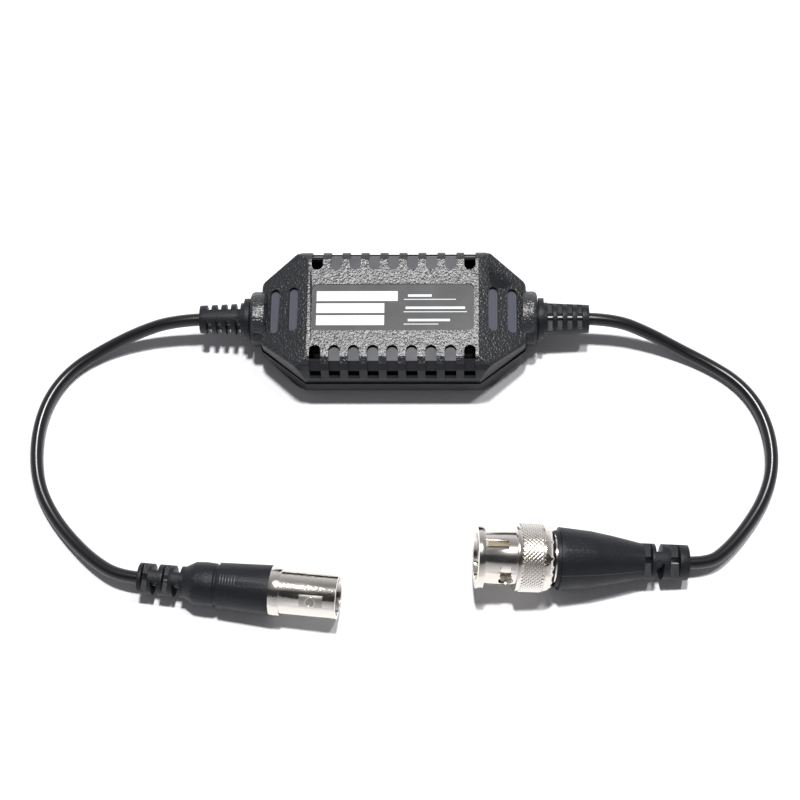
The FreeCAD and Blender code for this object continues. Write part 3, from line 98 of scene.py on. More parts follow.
class Effect:
    """Shader groups that several finishes share, each built once."""

    made: dict[str, bpy.types.NodeTree] = {}
    grain_detail: float = 3.0
    sheen_detail: float = 4.0

    @staticmethod
    def start(name: str, inputs: dict[str, float],
              outputs: list[str]) -> tuple[bpy.types.NodeTree, bool]:
        """Finds or starts a group.

        Args:
            name: the group's name.
            inputs: value inputs with their defaults, besides the Vector input.
            outputs: value outputs.

        Returns:
            The group, and whether it still has to be filled.
        """
        if name in Effect.made:
            return Effect.made[name], False
        group = bpy.data.node_groups.new(name, "ShaderNodeTree")
        group.interface.new_socket("Vector", in_out="INPUT", socket_type="NodeSocketVector")
        for label, value in inputs.items():
            socket = group.interface.new_socket(label, in_out="INPUT",
                                                socket_type="NodeSocketFloat")
            socket.default_value = value
        for label in outputs:
            group.interface.new_socket(label, in_out="OUTPUT", socket_type="NodeSocketFloat")
        Effect.made[name] = group
        return group, True

    @staticmethod
    def math(tree: bpy.types.NodeTree, operation: str, first: object,
             second: object = 0.0) -> object:
        """Adds a math node.

        Args:
            tree: where the node goes.
            operation: the node's operation.
            first: a socket or a number.
            second: a socket or a number.

        Returns:
            The node's output socket.
        """
        node = tree.nodes.new("ShaderNodeMath")
        node.operation = operation
        for index, value in enumerate((first, second)):
            if isinstance(value, (int, float)):
                node.inputs[index].default_value = value
            else:
                tree.links.new(value, node.inputs[index])
        return node.outputs[0]

    @staticmethod
    def noise(tree: bpy.types.NodeTree, vector: object, scale: object, detail: float) -> object:
        """Adds a noise texture.

        Args:
            tree: where the node goes.
            vector: the coordinates' socket.
            scale: a socket or a number, in features a metre.
            detail: octaves.

        Returns:
            The texture's value socket.
        """
        node = tree.nodes.new("ShaderNodeTexNoise")
        node.inputs["Detail"].default_value = detail
        tree.links.new(vector, node.inputs["Vector"])
        if isinstance(scale, (int, float)):
            node.inputs["Scale"].default_value = scale
        else:
            tree.links.new(scale, node.inputs["Scale"])
        return node.outputs["Fac"]

    @staticmethod
    def grain() -> bpy.types.NodeTree:
        """Spark-eroded grain of a mould: pebbles over a finer noise, as a height.

        Returns:
            The group.
        """
        group, fresh = Effect.start("moulded_grain", {"Scale": 2500.0, "Pebble": 0.6}, ["Height"])
        if fresh:
            source, sink = group.nodes.new("NodeGroupInput"), group.nodes.new("NodeGroupOutput")
            pebbles = group.nodes.new("ShaderNodeTexVoronoi")
            pebbles.feature = "SMOOTH_F1"
            group.links.new(source.outputs["Vector"], pebbles.inputs["Vector"])
            group.links.new(source.outputs["Scale"], pebbles.inputs["Scale"])
            fine = Effect.noise(group, source.outputs["Vector"], source.outputs["Scale"],
                                Effect.grain_detail)
            raised = Effect.math(group, "MULTIPLY", pebbles.outputs["Distance"],
                                 source.outputs["Pebble"])
            group.links.new(Effect.math(group, "SUBTRACT", fine, raised), sink.inputs["Height"])
        return group

    @staticmethod
    def handling() -> bpy.types.NodeTree:
        """Uneven sheen from moulding and hands, as a value at most Spread off Middle.

        Returns:
            The group.
        """
        group, fresh = Effect.start("uneven_sheen", {"Scale": 160.0, "Middle": 0.5, "Spread": 0.1},
                                    ["Value"])
        if fresh:
            source, sink = group.nodes.new("NodeGroupInput"), group.nodes.new("NodeGroupOutput")
            blotch = Effect.noise(group, source.outputs["Vector"], source.outputs["Scale"],
                                  Effect.sheen_detail)
            # Noise strays half either way from its middle, so twice that is a whole Spread.
            centred = Effect.math(group, "SUBTRACT", blotch, 0.5)
            spread = Effect.math(group, "MULTIPLY", centred, source.outputs["Spread"])
            moved = Effect.math(group, "ADD", Effect.math(group, "MULTIPLY", spread, 2.0),
                                source.outputs["Middle"])
            group.links.new(moved, sink.inputs["Value"])
        return group

    @staticmethod
    def bar() -> bpy.types.NodeTree:
        """A rectangle across local Z, as a mask.

        Returns:
            The group.
        """
        group, fresh = Effect.start(
            "printed_bar",
            {"Centre X": 0.0, "Centre Y": 0.0, "Half Length": 0.01, "Half Height": 0.001},
            ["Mask"])
        if fresh:
            source, sink = group.nodes.new("NodeGroupInput"), group.nodes.new("NodeGroupOutput")
            parts = group.nodes.new("ShaderNodeSeparateXYZ")
            group.links.new(source.outputs["Vector"], parts.inputs[0])
            masks = []
            for axis, centre, half in (("X", "Centre X", "Half Length"),
                                       ("Y", "Centre Y", "Half Height")):
                offset = Effect.math(group, "SUBTRACT", parts.outputs[axis], source.outputs[centre])
                distance = Effect.math(group, "ABSOLUTE", offset)
                masks.append(Effect.math(group, "LESS_THAN", distance, source.outputs[half]))
            group.links.new(Effect.math(group, "MULTIPLY", *masks), sink.inputs["Mask"])
        return group


def place_group(tree: bpy.types.NodeTree, group: bpy.types.NodeTree, vector: object,
                **values: float) -> object:
    """Puts a shared group in a material.

    Args:
        tree: the material's tree.
        group: the shared group.
        vector: the coordinates' socket.
        **values: the group's inputs, with spaces written as underscores.

    Returns:
        The group's first output socket.
    """
    node = tree.nodes.new("ShaderNodeGroup")
    node.node_tree = group
    tree.links.new(vector, node.inputs["Vector"])
    for label, value in values.items():
        node.inputs[label.replace("_", " ")].default_value = value
    return node.outputs[0]


# Finishes


@dataclass(frozen=True)
class Finish:
    """A finish with uneven sheen and a moulded or machined relief.

    Scales are features a metre, and the relief is in millimetres.
    """

    name: str
    slot: Slot
    colour: tuple[float, float, float]
    roughness: float = 0.5
    spread: float = 0.08
    sheen_scale: float = 160.0
    metallic: float = 0.0
    grain_scale: float = 2500.0
    pebble: float = 0.6
    relief: float = 0.02
    strength: float = 0.3
    tint: tuple[float, float, float] | None = None
    tint_scale: float = 90.0
    tint_detail: float = 3.0
    specular: float = 0.5

    def material(self) -> bpy.types.Material:
        """The finish's material, made the first time it is asked for."""
        found = bpy.data.materials.get(self.name)
        return found if found else self.make()

    def make(self) -> bpy.types.Material:
        """Builds the node tree.

        Returns:
            The new material.
        """
        made = bpy.data.materials.new(self.name)
        made.use_nodes = True
        tree = made.node_tree
        shader = tree.nodes["Principled BSDF"]
        shader.inputs["Base Color"].default_value = (*self.colour, 1.0)
        shader.inputs["Metallic"].default_value = self.metallic
        shader.inputs["Specular IOR Level"].default_value = self.specular
        coordinates = tree.nodes.new("ShaderNodeTexCoord").outputs["Object"]
        sheen = place_group(tree, Effect.handling(), coordinates, Scale=self.sheen_scale,
                            Middle=self.roughness, Spread=self.spread)
        tree.links.new(sheen, shader.inputs["Roughness"])
        if self.tint:
            patch = Effect.noise(tree, coordinates, self.tint_scale, self.tint_detail)
            tree.links.new(self.blend(tree, patch, self.colour, self.tint),
                           shader.inputs["Base Color"])
        bump = tree.nodes.new("ShaderNodeBump")
        bump.inputs["Strength"].default_value = self.strength
        bump.inputs["Distance"].default_value = self.relief * MM
        grain = place_group(tree, Effect.grain(), coordinates, Scale=self.grain_scale,
                            Pebble=self.pebble)
        tree.links.new(grain, bump.inputs["Height"])
        tree.links.new(bump.outputs["Normal"], shader.inputs["Normal"])
        self.extra(tree, shader, coordinates)
        return made

    def extra(self, tree: bpy.types.NodeTree, shader: bpy.types.Node,
              coordinates: object) -> None:
        """Room for what only one kind of finish has."""

    @staticmethod
    def blend(tree: bpy.types.NodeTree, mask: object, low: tuple[float, float, float],
              high: tuple[float, float, float]) -> object:
        """Mixes two colours by a mask.

        Args:
            tree: the material's tree.
            mask: the mask's socket.
            low: colour where the mask is 0.
            high: colour where the mask is 1.

        Returns:
            The colour's socket.
        """
        ramp = tree.nodes.new("ShaderNodeValToRGB")
        ramp.color_ramp.elements[0].color = (*low, 1.0)
        ramp.color_ramp.elements[1].color = (*high, 1.0)
        tree.links.new(mask, ramp.inputs["Fac"])
        return ramp.outputs["Color"]


@dataclass(frozen=True)
class LabelFinish(Finish):
    """Glossy film printed with bare bars and rules.

    Each is given by its centre's X and Y, its half length and its half height, in millimetres.
    """

    print_colour: tuple[float, float, float] = (0.70, 0.71, 0.73)
    bars: tuple[tuple[float, float, float, float], ...] = (
        (-7.85, 2.65, 8.90, 1.17),
        (-9.30, -0.20, 7.45, 1.15),
        (-9.30, -3.05, 7.45, 1.17),
        (8.10, 1.85, 5.70, 0.09),
        (9.30, -1.10, 6.90, 0.09),
        (6.20, -4.00, 3.80, 0.09),
        (5.90, 2.75, 2.60, 0.28),
        (9.30, -0.15, 6.50, 0.28),
        (7.90, -3.05, 4.60, 0.28),
    )

    def extra(self, tree: bpy.types.NodeTree, shader: bpy.types.Node,
              coordinates: object) -> None:
        """Adds the printed bars.

        Args:
            tree: the material's tree.
            shader: its Principled BSDF.
            coordinates: the object coordinates' socket.
        """
        mask = None
        for x, y, length, height in self.bars:
            bar = place_group(tree, Effect.bar(), coordinates, Centre_X=x * MM, Centre_Y=y * MM,
                              Half_Length=length * MM, Half_Height=height * MM)
            mask = bar if mask is None else Effect.math(tree, "MAXIMUM", mask, bar)
        tree.links.new(self.blend(tree, mask, self.colour, self.print_colour),
                       shader.inputs["Base Color"])


@dataclass(frozen=True)
class PadFinish(Finish):
    """Bright metal with a dull pad round each lug.

    The pads' half sizes are in millimetres. They lie across a line whose centre is in metres and
    whose turn is in radians.
    """

    centre: tuple[float, float, float] = (0.0, 0.0, 0.0)
    turn: tuple[float, float, float] = (0.0, 0.0, 0.0)
    half_length: float = 2.5
    half_width: float = 1.3
    dull: float = 0.42
    shade: float = 0.62

    def extra(self, tree: bpy.types.NodeTree, shader: bpy.types.Node,
              coordinates: object) -> None:
        """Makes the pad rougher and a little darker.

        Args:
            tree: the material's tree.
            shader: its Principled BSDF.
            coordinates: the object coordinates' socket.
        """
        local = tree.nodes.new("ShaderNodeMapping")
        local.vector_type = "TEXTURE"
        local.inputs["Location"].default_value = self.centre
        local.inputs["Rotation"].default_value = self.turn
        tree.links.new(coordinates, local.inputs["Vector"])
        pad = place_group(tree, Effect.bar(), local.outputs["Vector"],
                          Half_Length=self.half_length * MM, Half_Height=self.half_width * MM)
        rise = Effect.math(tree, "MULTIPLY", pad, self.dull - self.roughness)
        sheen = shader.inputs["Roughness"].links[0].from_socket
        tree.links.new(Effect.math(tree, "ADD", sheen, rise), shader.inputs["Roughness"])
        low = tuple(self.shade * value for value in self.colour)
        tree.links.new(self.blend(tree, pad, self.colour, low), shader.inputs["Base Color"])


HOUSING = Finish("black_housing_grain", Slot.HOUSING, (0.0090, 0.0095, 0.0115), roughness=0.35,
                 spread=0.05, grain_scale=2300.0, pebble=0.8, relief=0.115, strength=1.0,
                 specular=0.90)
# Painted shade: the sloped end facets get a darker, less shiny copy of the housing plastic,
# standing in for their shading beside the lit flat top.
SHADED_FACET = replace(HOUSING, name="facet_grain_painted_shade", colour=(0.0080, 0.0085, 0.0110),
                specular=0.62)
LEDGE = Finish("dull_housing_ledge", Slot.HOUSING, (0.0080, 0.0085, 0.0110), roughness=0.75,
               grain_scale=2300.0, pebble=0.5, relief=0.05, strength=0.6, specular=0.2)
# The sides' smooth surface is real; their darker, bluer colour than the top's is painted shade.
SMOOTH = Finish("smooth_side_painted_shade", Slot.HOUSING, (0.0070, 0.0080, 0.0115), roughness=0.45,
                grain_scale=1500.0, pebble=0.3, strength=0.5, specular=0.28)
# Painted shade: the lower shell is coloured darker still, standing in for the shadow that it sits
# in.
SHADED_LOWER = replace(SMOOTH, name="lower_shell_painted_shade", colour=(0.0045, 0.0050, 0.0075), roughness=0.50,
                specular=0.12)
FILM = Finish("grey_vent_film", Slot.HOUSING, (0.016, 0.016, 0.026), spread=0.06,
              grain_scale=900.0, pebble=0.1)
# Painted reflection: the smooth floors of the facet slots are coloured a light blue grey, standing
# in for the light that they mirror.
PAINTED_SLOT_REFLECTION = replace(FILM, name="slot_floor_painted_reflection", colour=(0.080, 0.083, 0.105),
                   roughness=0.30, strength=0.4)
RUBBER = Finish("black_moulded_rubber", Slot.RUBBER, (0.0055, 0.0062, 0.0090), spread=0.14,
                sheen_scale=220.0, grain_scale=2400.0, pebble=0.3, relief=0.08, strength=0.9,
                specular=0.34)
# Painted highlight: a lighter, glossier rubber for the raised ribs and the boot's seam, standing in
# for the glints along them.
PAINTED_RIB_HIGHLIGHT = Finish("rubber_rib_painted_highlight", Slot.RUBBER, (0.045, 0.046, 0.052), roughness=0.30, spread=0.10,
              grain_scale=2400.0, pebble=0.3, relief=0.03, strength=0.5)
JACKET = Finish("black_cable_jacket", Slot.JACKET, (0.0070, 0.0070, 0.0085), roughness=0.28,
                spread=0.06, grain_scale=1500.0, pebble=0.1, relief=0.015, strength=0.2)
SLEEVE = Finish("glossy_black_sleeve", Slot.SLEEVE, (0.014, 0.014, 0.020), roughness=0.42,
                grain_scale=500.0, pebble=0.1, relief=0.05)
NICKEL = Finish("bright_nickel", Slot.NICKEL, (0.84, 0.80, 0.74), roughness=0.17, spread=0.06,
                metallic=1.0, grain_scale=1800.0, pebble=0.1, relief=0.004, strength=0.25,
                tint=(0.77, 0.72, 0.65))
# Painted highlight: the knurl is coloured brighter than the nickel plating that it shares with the
# nut, standing in for the light that it catches.
PAINTED_KNURL_HIGHLIGHT = replace(NICKEL, name="knurl_painted_highlight", colour=(0.97, 0.94, 0.88), roughness=0.26,
                tint=(0.92, 0.88, 0.81))
DIELECTRIC = Finish("white_dielectric", Slot.DIELECTRIC, (0.80, 0.80, 0.77), roughness=0.45,
                    tint=(0.74, 0.74, 0.70))
GILT = Finish("gilt_contact", Slot.GILT, (0.85, 0.62, 0.28), roughness=0.22, metallic=1.0,
              relief=0.004)
COPPER = Finish("enamelled_copper", Slot.COPPER, (0.72, 0.34, 0.18), roughness=0.30,
                metallic=1.0, tint=(0.60, 0.24, 0.12), relief=0.01)
BOARD = Finish("green_board", Slot.BOARD, (0.03, 0.14, 0.06), roughness=0.35,
               tint=(0.05, 0.20, 0.09))
FERRITE = Finish("coated_ferrite", Slot.FERRITE, (0.07, 0.07, 0.08), roughness=0.55,
                 tint=(0.10, 0.10, 0.11))
CAPACITOR = Finish("ochre_capacitor", Slot.CAPACITOR, (0.55, 0.26, 0.05), roughness=0.3,
                   tint=(0.62, 0.32, 0.08))
GASKET = Finish("red_brown_gasket", Slot.GASKET, (0.16, 0.04, 0.03), roughness=0.6,
                tint=(0.20, 0.06, 0.04))
SPRING = Finish("spring_steel", Slot.SPRING, (0.52, 0.52, 0.52), roughness=0.3, metallic=1.0,
                relief=0.004)
LABEL = LabelFinish("printed_label_film", Slot.LABEL, (0.012, 0.012, 0.014), spread=0.05,
                    grain_scale=1200.0, pebble=0.2, relief=0.01, strength=0.25)


# Modelling helpers


def deselect() -> None:
    """Leaves nothing selected."""
    if bpy.context.mode != "OBJECT":
        bpy.ops.object.mode_set(mode="OBJECT")
    bpy.ops.object.select_all(action="DESELECT")


def only(piece: bpy.types.Object) -> None:
    """Selects one piece and makes it active.

    Args:
        piece: the piece.
    """
    deselect()
    piece.select_set(True)
    bpy.context.view_layer.objects.active = piece


def settle(piece: bpy.types.Object) -> None:
    """Applies the piece's place to its mesh."""
    only(piece)
    bpy.ops.object.transform_apply(location=True, rotation=True, scale=True)


def move(piece: bpy.types.Object, matrix: Matrix) -> None:
    """Moves the piece's mesh by a matrix."""
    piece.data.transform(matrix)
    piece.data.update()


def repeat(piece: bpy.types.Object, places: list[Matrix]) -> None:
    """Turns one small shape into a mesh with a copy at each place.

    Args:
        piece: the object whose mesh is the shape.
        places: where the copies go.
    """
    mesh = bmesh.new()
    for place in places:
        start = len(mesh.verts)
        mesh.from_mesh(piece.data)
        mesh.verts.ensure_lookup_table()
        bmesh.ops.transform(mesh, matrix=place, verts=mesh.verts[start:])
    mesh.to_mesh(piece.data)
    mesh.free()


def spline(name: str, places: list[tuple[float, float, float]], radius: float, around: int,
           along: int) -> bpy.types.Object:
    """A round rod on a smooth spline that starts and ends at its outer points.

    Args:
        name: the piece's name.
        places: control points in metres.
        radius: metres.
        around: the bevel's resolution.
        along: steps from point to point.

    Returns:
        The curve.
    """
    curve = bpy.data.curves.new(name, "CURVE")
    curve.dimensions = "3D"
    curve.bevel_depth = radius
    curve.bevel_resolution = around
    curve.resolution_u = along
    path = curve.splines.new("NURBS")
    path.points.add(len(places) - 1)
    for point, place in zip(path.points, places):
        point.co = (*place, 1.0)
    path.order_u = 3
    path.use_endpoint_u = True
    piece = bpy.data.objects.new(name, curve)
    bpy.context.scene.collection.objects.link(piece)
    return piece


def plain_material(name: str, colour: tuple[float, float, float], roughness: float,
                   specular: float = 0.5) -> bpy.types.Material:
    """An even material for what stands round the object.

    Args:
        name: the material's name.
        colour: its colour.
        roughness: its roughness.
        specular: its specular level.

    Returns:
        The material.
    """
    made = bpy.data.materials.new(name)
    made.use_nodes = True
    shader = made.node_tree.nodes["Principled BSDF"]
    shader.inputs["Base Color"].default_value = (*colour, 1.0)
    shader.inputs["Roughness"].default_value = roughness
    shader.inputs["Specular IOR Level"].default_value = specular
    return made


def dressed(piece: bpy.types.Object, finish: Finish, ride: Ride) -> bpy.types.Object:
    """Gives a new piece its finish and body.

    Args:
        piece: the finished piece.
        finish: its finish.
        ride: the CAD body that it moves with.

    Returns:
        The piece.
    """
    piece.data.materials.clear()
    piece.data.materials.append(finish.material())
    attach(piece, ride.value)
    LOG.info("made %s in %s", piece.name, finish.name)
    return piece


def paint(piece: bpy.types.Object, finish: Finish,
          chosen: Callable[[Vector, Vector], bool]) -> None:
    """Gives some faces of a piece a finish of their own.

    Args:
        piece: a piece at the origin.
        finish: the second finish.
        chosen: tells from a face's centre, in millimetres, and its normal if it is one of them.
    """
    piece.data.materials.append(finish.material())
    number = len(piece.data.materials) - 1
    for face in piece.data.polygons:
        if chosen(face.center / MM, face.normal):
            face.material_index = number


@dataclass
class Axis:
    """A connector's axis: a point on it and its direction towards +X."""

    point: Vector
    ahead: Vector

    def matrix(self, station: float = 0.0, roll: float = 0.0) -> Matrix:
        """Local frame on the axis, local X ahead and local Z up before the roll.

        Args:
            station: millimetres ahead of the axis' point.
            roll: degrees about the axis, from upright towards the front.

        Returns:
            The matrix from local metres to the row frame.
        """
        across = Vector((0, 0, 1)).cross(self.ahead).normalized()
        up = self.ahead.cross(across)
        turn = Matrix((self.ahead, across, up)).transposed().to_4x4()
        place = Matrix.Translation(self.point + self.ahead * station * MM)
        return place @ turn @ Matrix.Rotation(math.radians(roll), 4, "X")


@dataclass
class Node:
    """A CAD node with its finish, dressed as it is or shown as a smoothed copy.

    Lengths are in millimetres and angles in degrees.
    """

    name: str
    finish: Finish
    ride: Ride = Ride.ISOLATOR
    copy: bool = False
    angle: float = 35.0
    bevel: float = 0.0
    bevel_steps: int = 2
    merge_gap: float = 0.002
    flat_angle: float = 0.5

    def dress(self, nodes: dict[str, bpy.types.Object]) -> bpy.types.Object:
        """Dresses the node or its copy.

        Args:
            nodes: the CAD nodes by name.

        Returns:
            The object that is shown.
        """
        source = nodes[self.name]
        if not self.copy:
            source.data.materials.clear()
            source.data.materials.append(self.finish.material())
            LOG.info("dressed %s in %s", self.name, self.finish.name)
            return source
        piece = bpy.data.objects.new(f"{self.name}_skin", source.data.copy())
        bpy.context.scene.collection.objects.link(piece)
        only(piece)
        bpy.ops.object.mode_set(mode="EDIT")
        bpy.ops.mesh.select_all(action="SELECT")
        bpy.ops.mesh.remove_doubles(threshold=self.merge_gap * MM)
        bpy.ops.mesh.dissolve_limited(angle_limit=math.radians(self.flat_angle))
        bpy.ops.object.mode_set(mode="OBJECT")
        if self.bevel:
            rounding = piece.modifiers.new("edges", "BEVEL")
            rounding.width = self.bevel * MM
            rounding.segments = self.bevel_steps
            rounding.limit_method = "ANGLE"
            rounding.angle_limit = math.radians(self.angle)
            bpy.ops.object.modifier_apply(modifier=rounding.name)
        bpy.ops.object.shade_smooth_by_angle(angle=math.radians(self.angle))
        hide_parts(self.name)
        return dressed(piece, self.finish, self.ride)


# Sub-assemblies


@dataclass
class Studio:
    """Pale floor, soft lamps and the camera at the photograph's angle.

    The camera's place, lens and sensor are in millimetres, and all other lengths in metres.
    """

    camera_place: tuple[float, float, float] = (16.339, -153.567, 376.823)
    right: tuple[float, float, float] = (0.9993, 0.01283, -0.03525)
    up: tuple[float, float, float] = (0.0, 0.93969, 0.34202)
    lens: float = 81.0
    sensor: float = 36.0
    clip: tuple[float, float] = (0.01, 10.0)
    floor_size: float = 6.0
    floor_colour: tuple[float, float, float] = (0.87, 0.87, 0.89)
    floor_roughness: float = 0.85
    floor_specular: float = 0.2
    lamp_aim: tuple[float, float, float] = (0.0, -0.03, 0.0)
    lamps: tuple[tuple[str, tuple[float, float, float], float, float, bool], ...] = (
        ("overhead_lamp", (0.02, 0.36, 1.45), 0.12, 23.0, True),
        ("right_lamp", (0.46, 0.36, 1.45), 0.16, 8.0, False),
    )
    card_size: tuple[float, float] = (2.4, 0.42)
    card_tilt: float = 26.0
    card_place: tuple[float, float, float] = (0.0, -0.33, 0.60)
    card_colour: tuple[float, float, float] = (0.02, 0.02, 0.02)
    card_roughness: float = 0.9
    sky_colour: tuple[float, float, float] = (0.95, 0.95, 1.0)
    ambient: float = 0.17
    horizon: float = 0.95
    zenith_fall: float = 0.90

    def build(self) -> None:
        """Makes camera, floor, lamps, dark card and world."""
        self.make_camera()
        self.make_floor()
        for name, place, width, power, mirrored in self.lamps:
            self.make_lamp(name, Vector(place), width, power, mirrored)
        self.make_card()
        self.make_world()
        bpy.context.scene.view_settings.view_transform = "Standard"

    def make_camera(self) -> None:
        """Sets the camera from its place, its right and its up."""
        data = bpy.data.cameras.new("photo_camera")
        data.lens, data.sensor_width = self.lens, self.sensor
        data.clip_start, data.clip_end = self.clip
        camera = bpy.data.objects.new("photo_camera", data)
        bpy.context.scene.collection.objects.link(camera)
        right = Vector(self.right).normalized()
        up = Vector(self.up)
        up = (up - right * up.dot(right)).normalized()
        turn = Matrix((right, up, right.cross(up))).transposed().to_4x4()
        camera.matrix_world = Matrix.Translation(Vector(self.camera_place) * MM) @ turn
        bpy.context.scene.camera = camera

    def make_floor(self) -> None:
        """A wide pale floor that reads near white and keeps the shadows."""
        deselect()
        bpy.ops.mesh.primitive_plane_add(size=self.floor_size)
        floor = bpy.context.object
        floor.name = "pale_floor"
        floor.data.materials.append(plain_material("pale_floor", self.floor_colour,
                                                   self.floor_roughness, self.floor_specular))

    def make_lamp(self, name: str, place: Vector, width: float, power: float,
                  mirrored: bool) -> None:
        """A square soft lamp that faces the middle of the scene.

        Args:
            name: the lamp's name.
            place: where it hangs.
            width: side of its square.
            power: watts.
            mirrored: whether glossy surfaces show it.
        """
        data = bpy.data.lights.new(name, "AREA")
        data.shape, data.size, data.energy = "SQUARE", width, power
        lamp = bpy.data.objects.new(name, data)
        bpy.context.scene.collection.objects.link(lamp)
        lamp.location = place
        lamp.visible_glossy = mirrored
        lamp.rotation_euler = (Vector(self.lamp_aim) - place).to_track_quat("-Z", "Y").to_euler()

    def make_card(self) -> None:
        """A long dark card behind the camera that only mirrored rays see."""
        deselect()
        bpy.ops.mesh.primitive_plane_add(size=1.0)
        card = bpy.context.object
        card.name = "dark_card"
        card.scale = (*self.card_size, 1.0)
        card.rotation_euler = (math.radians(self.card_tilt), 0, 0)
        card.location = self.card_place
        settle(card)
        card.data.materials.append(plain_material("dark_card", self.card_colour,
                                                  self.card_roughness))
        card.visible_camera = card.visible_shadow = card.visible_diffuse = False

    def make_world(self) -> None:
        """A dim surround that mirrors see pale, and camera rays as white."""
        world = bpy.data.worlds.new("soft_surround")
        bpy.context.scene.world = world
        world.use_nodes = True
        tree = world.node_tree
        shade = tree.nodes["Background"]
        shade.inputs["Color"].default_value = (*self.sky_colour, 1.0)
        parts = tree.nodes.new("ShaderNodeSeparateXYZ")
        tree.links.new(tree.nodes.new("ShaderNodeTexCoord").outputs["Generated"], parts.inputs[0])
        height = Effect.math(tree, "MAXIMUM", parts.outputs["Z"], 0.0)
        fall = Effect.math(tree, "MULTIPLY", height, self.zenith_fall)
        pale = Effect.math(tree, "SUBTRACT", self.horizon, fall)
        path = tree.nodes.new("ShaderNodeLightPath")
        mirrored = Effect.math(tree, "MULTIPLY", pale, path.outputs["Is Glossy Ray"])
        lit = Effect.math(tree, "MAXIMUM", mirrored, self.ambient)
        tree.links.new(Effect.math(tree, "MAXIMUM", lit, path.outputs["Is Camera Ray"]),
                       shade.inputs["Strength"])


@dataclass
class Leads:
    """The two free coaxial leads, on smooth splines along their routes, in millimetres."""

    diameter: float = 2.8
    around: int = 6
    along: int = 12
    left_length: float = 95.0
    right_length: float = 90.0
    left_route: list[tuple[float, float, float]] = field(default_factory=lambda: [
        (-43.1, 0, 7.4), (-49.5, -0.3, 7.3), (-57.5, -2.1, 4.9), (-65.3, -5.1, 2.3),
        (-72.0, -9.2, 1.45), (-76.5, -15.0, 1.45), (-78.8, -21.9, 1.45), (-79.2, -29.7, 1.45),
        (-77.8, -37.4, 1.45), (-74.0, -44.3, 1.45), (-68.9, -50.2, 2.0), (-63.6, -54.9, 3.0),
        (-58.27, -57.93, 3.85), (-53.7, -58.4, 4.05),
    ])
    right_route: list[tuple[float, float, float]] = field(default_factory=lambda: [
        (43.1, 0, 7.4), (49.2, -0.2, 7.3), (56.5, -2.4, 4.9), (63.3, -5.3, 2.4),
        (70.0, -8.6, 1.45), (76.0, -12.7, 1.45), (80.3, -18.4, 1.45), (82.5, -25.3, 1.45),
        (82.7, -32.6, 1.45), (80.5, -39.6, 1.45), (76.5, -45.9, 1.7), (71.8, -51.4, 2.4),
        (67.58, -54.56, 3.19), (62.81, -54.56, 3.73),
    ])

    def build(self, left_pieces: list[bpy.types.Object],
              right_pieces: list[bpy.types.Object]) -> None:
        """Makes both leads.

        Args:
            left_pieces: what hangs on the left lead; not used.
            right_pieces: what hangs on the right lead; not used.
        """
        self.lead("left_lead", "left_cable", self.left_route)
        self.lead("right_lead", "right_cable", self.right_route)

    def lead(self, name: str, node: str, route: list[tuple[float, float, float]]) -> None:
        """One lead as a round cord.

        Args:
            name: the new piece's name.
            node: the CAD tube that it stands for.
            route: control points in millimetres.
        """
        places = [tuple(value * MM for value in place) for place in route]
        piece = spline(name, places, self.diameter * MM / 2, self.around, self.along)
        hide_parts(node)
        dressed(piece, JACKET, Ride.ISOLATOR)


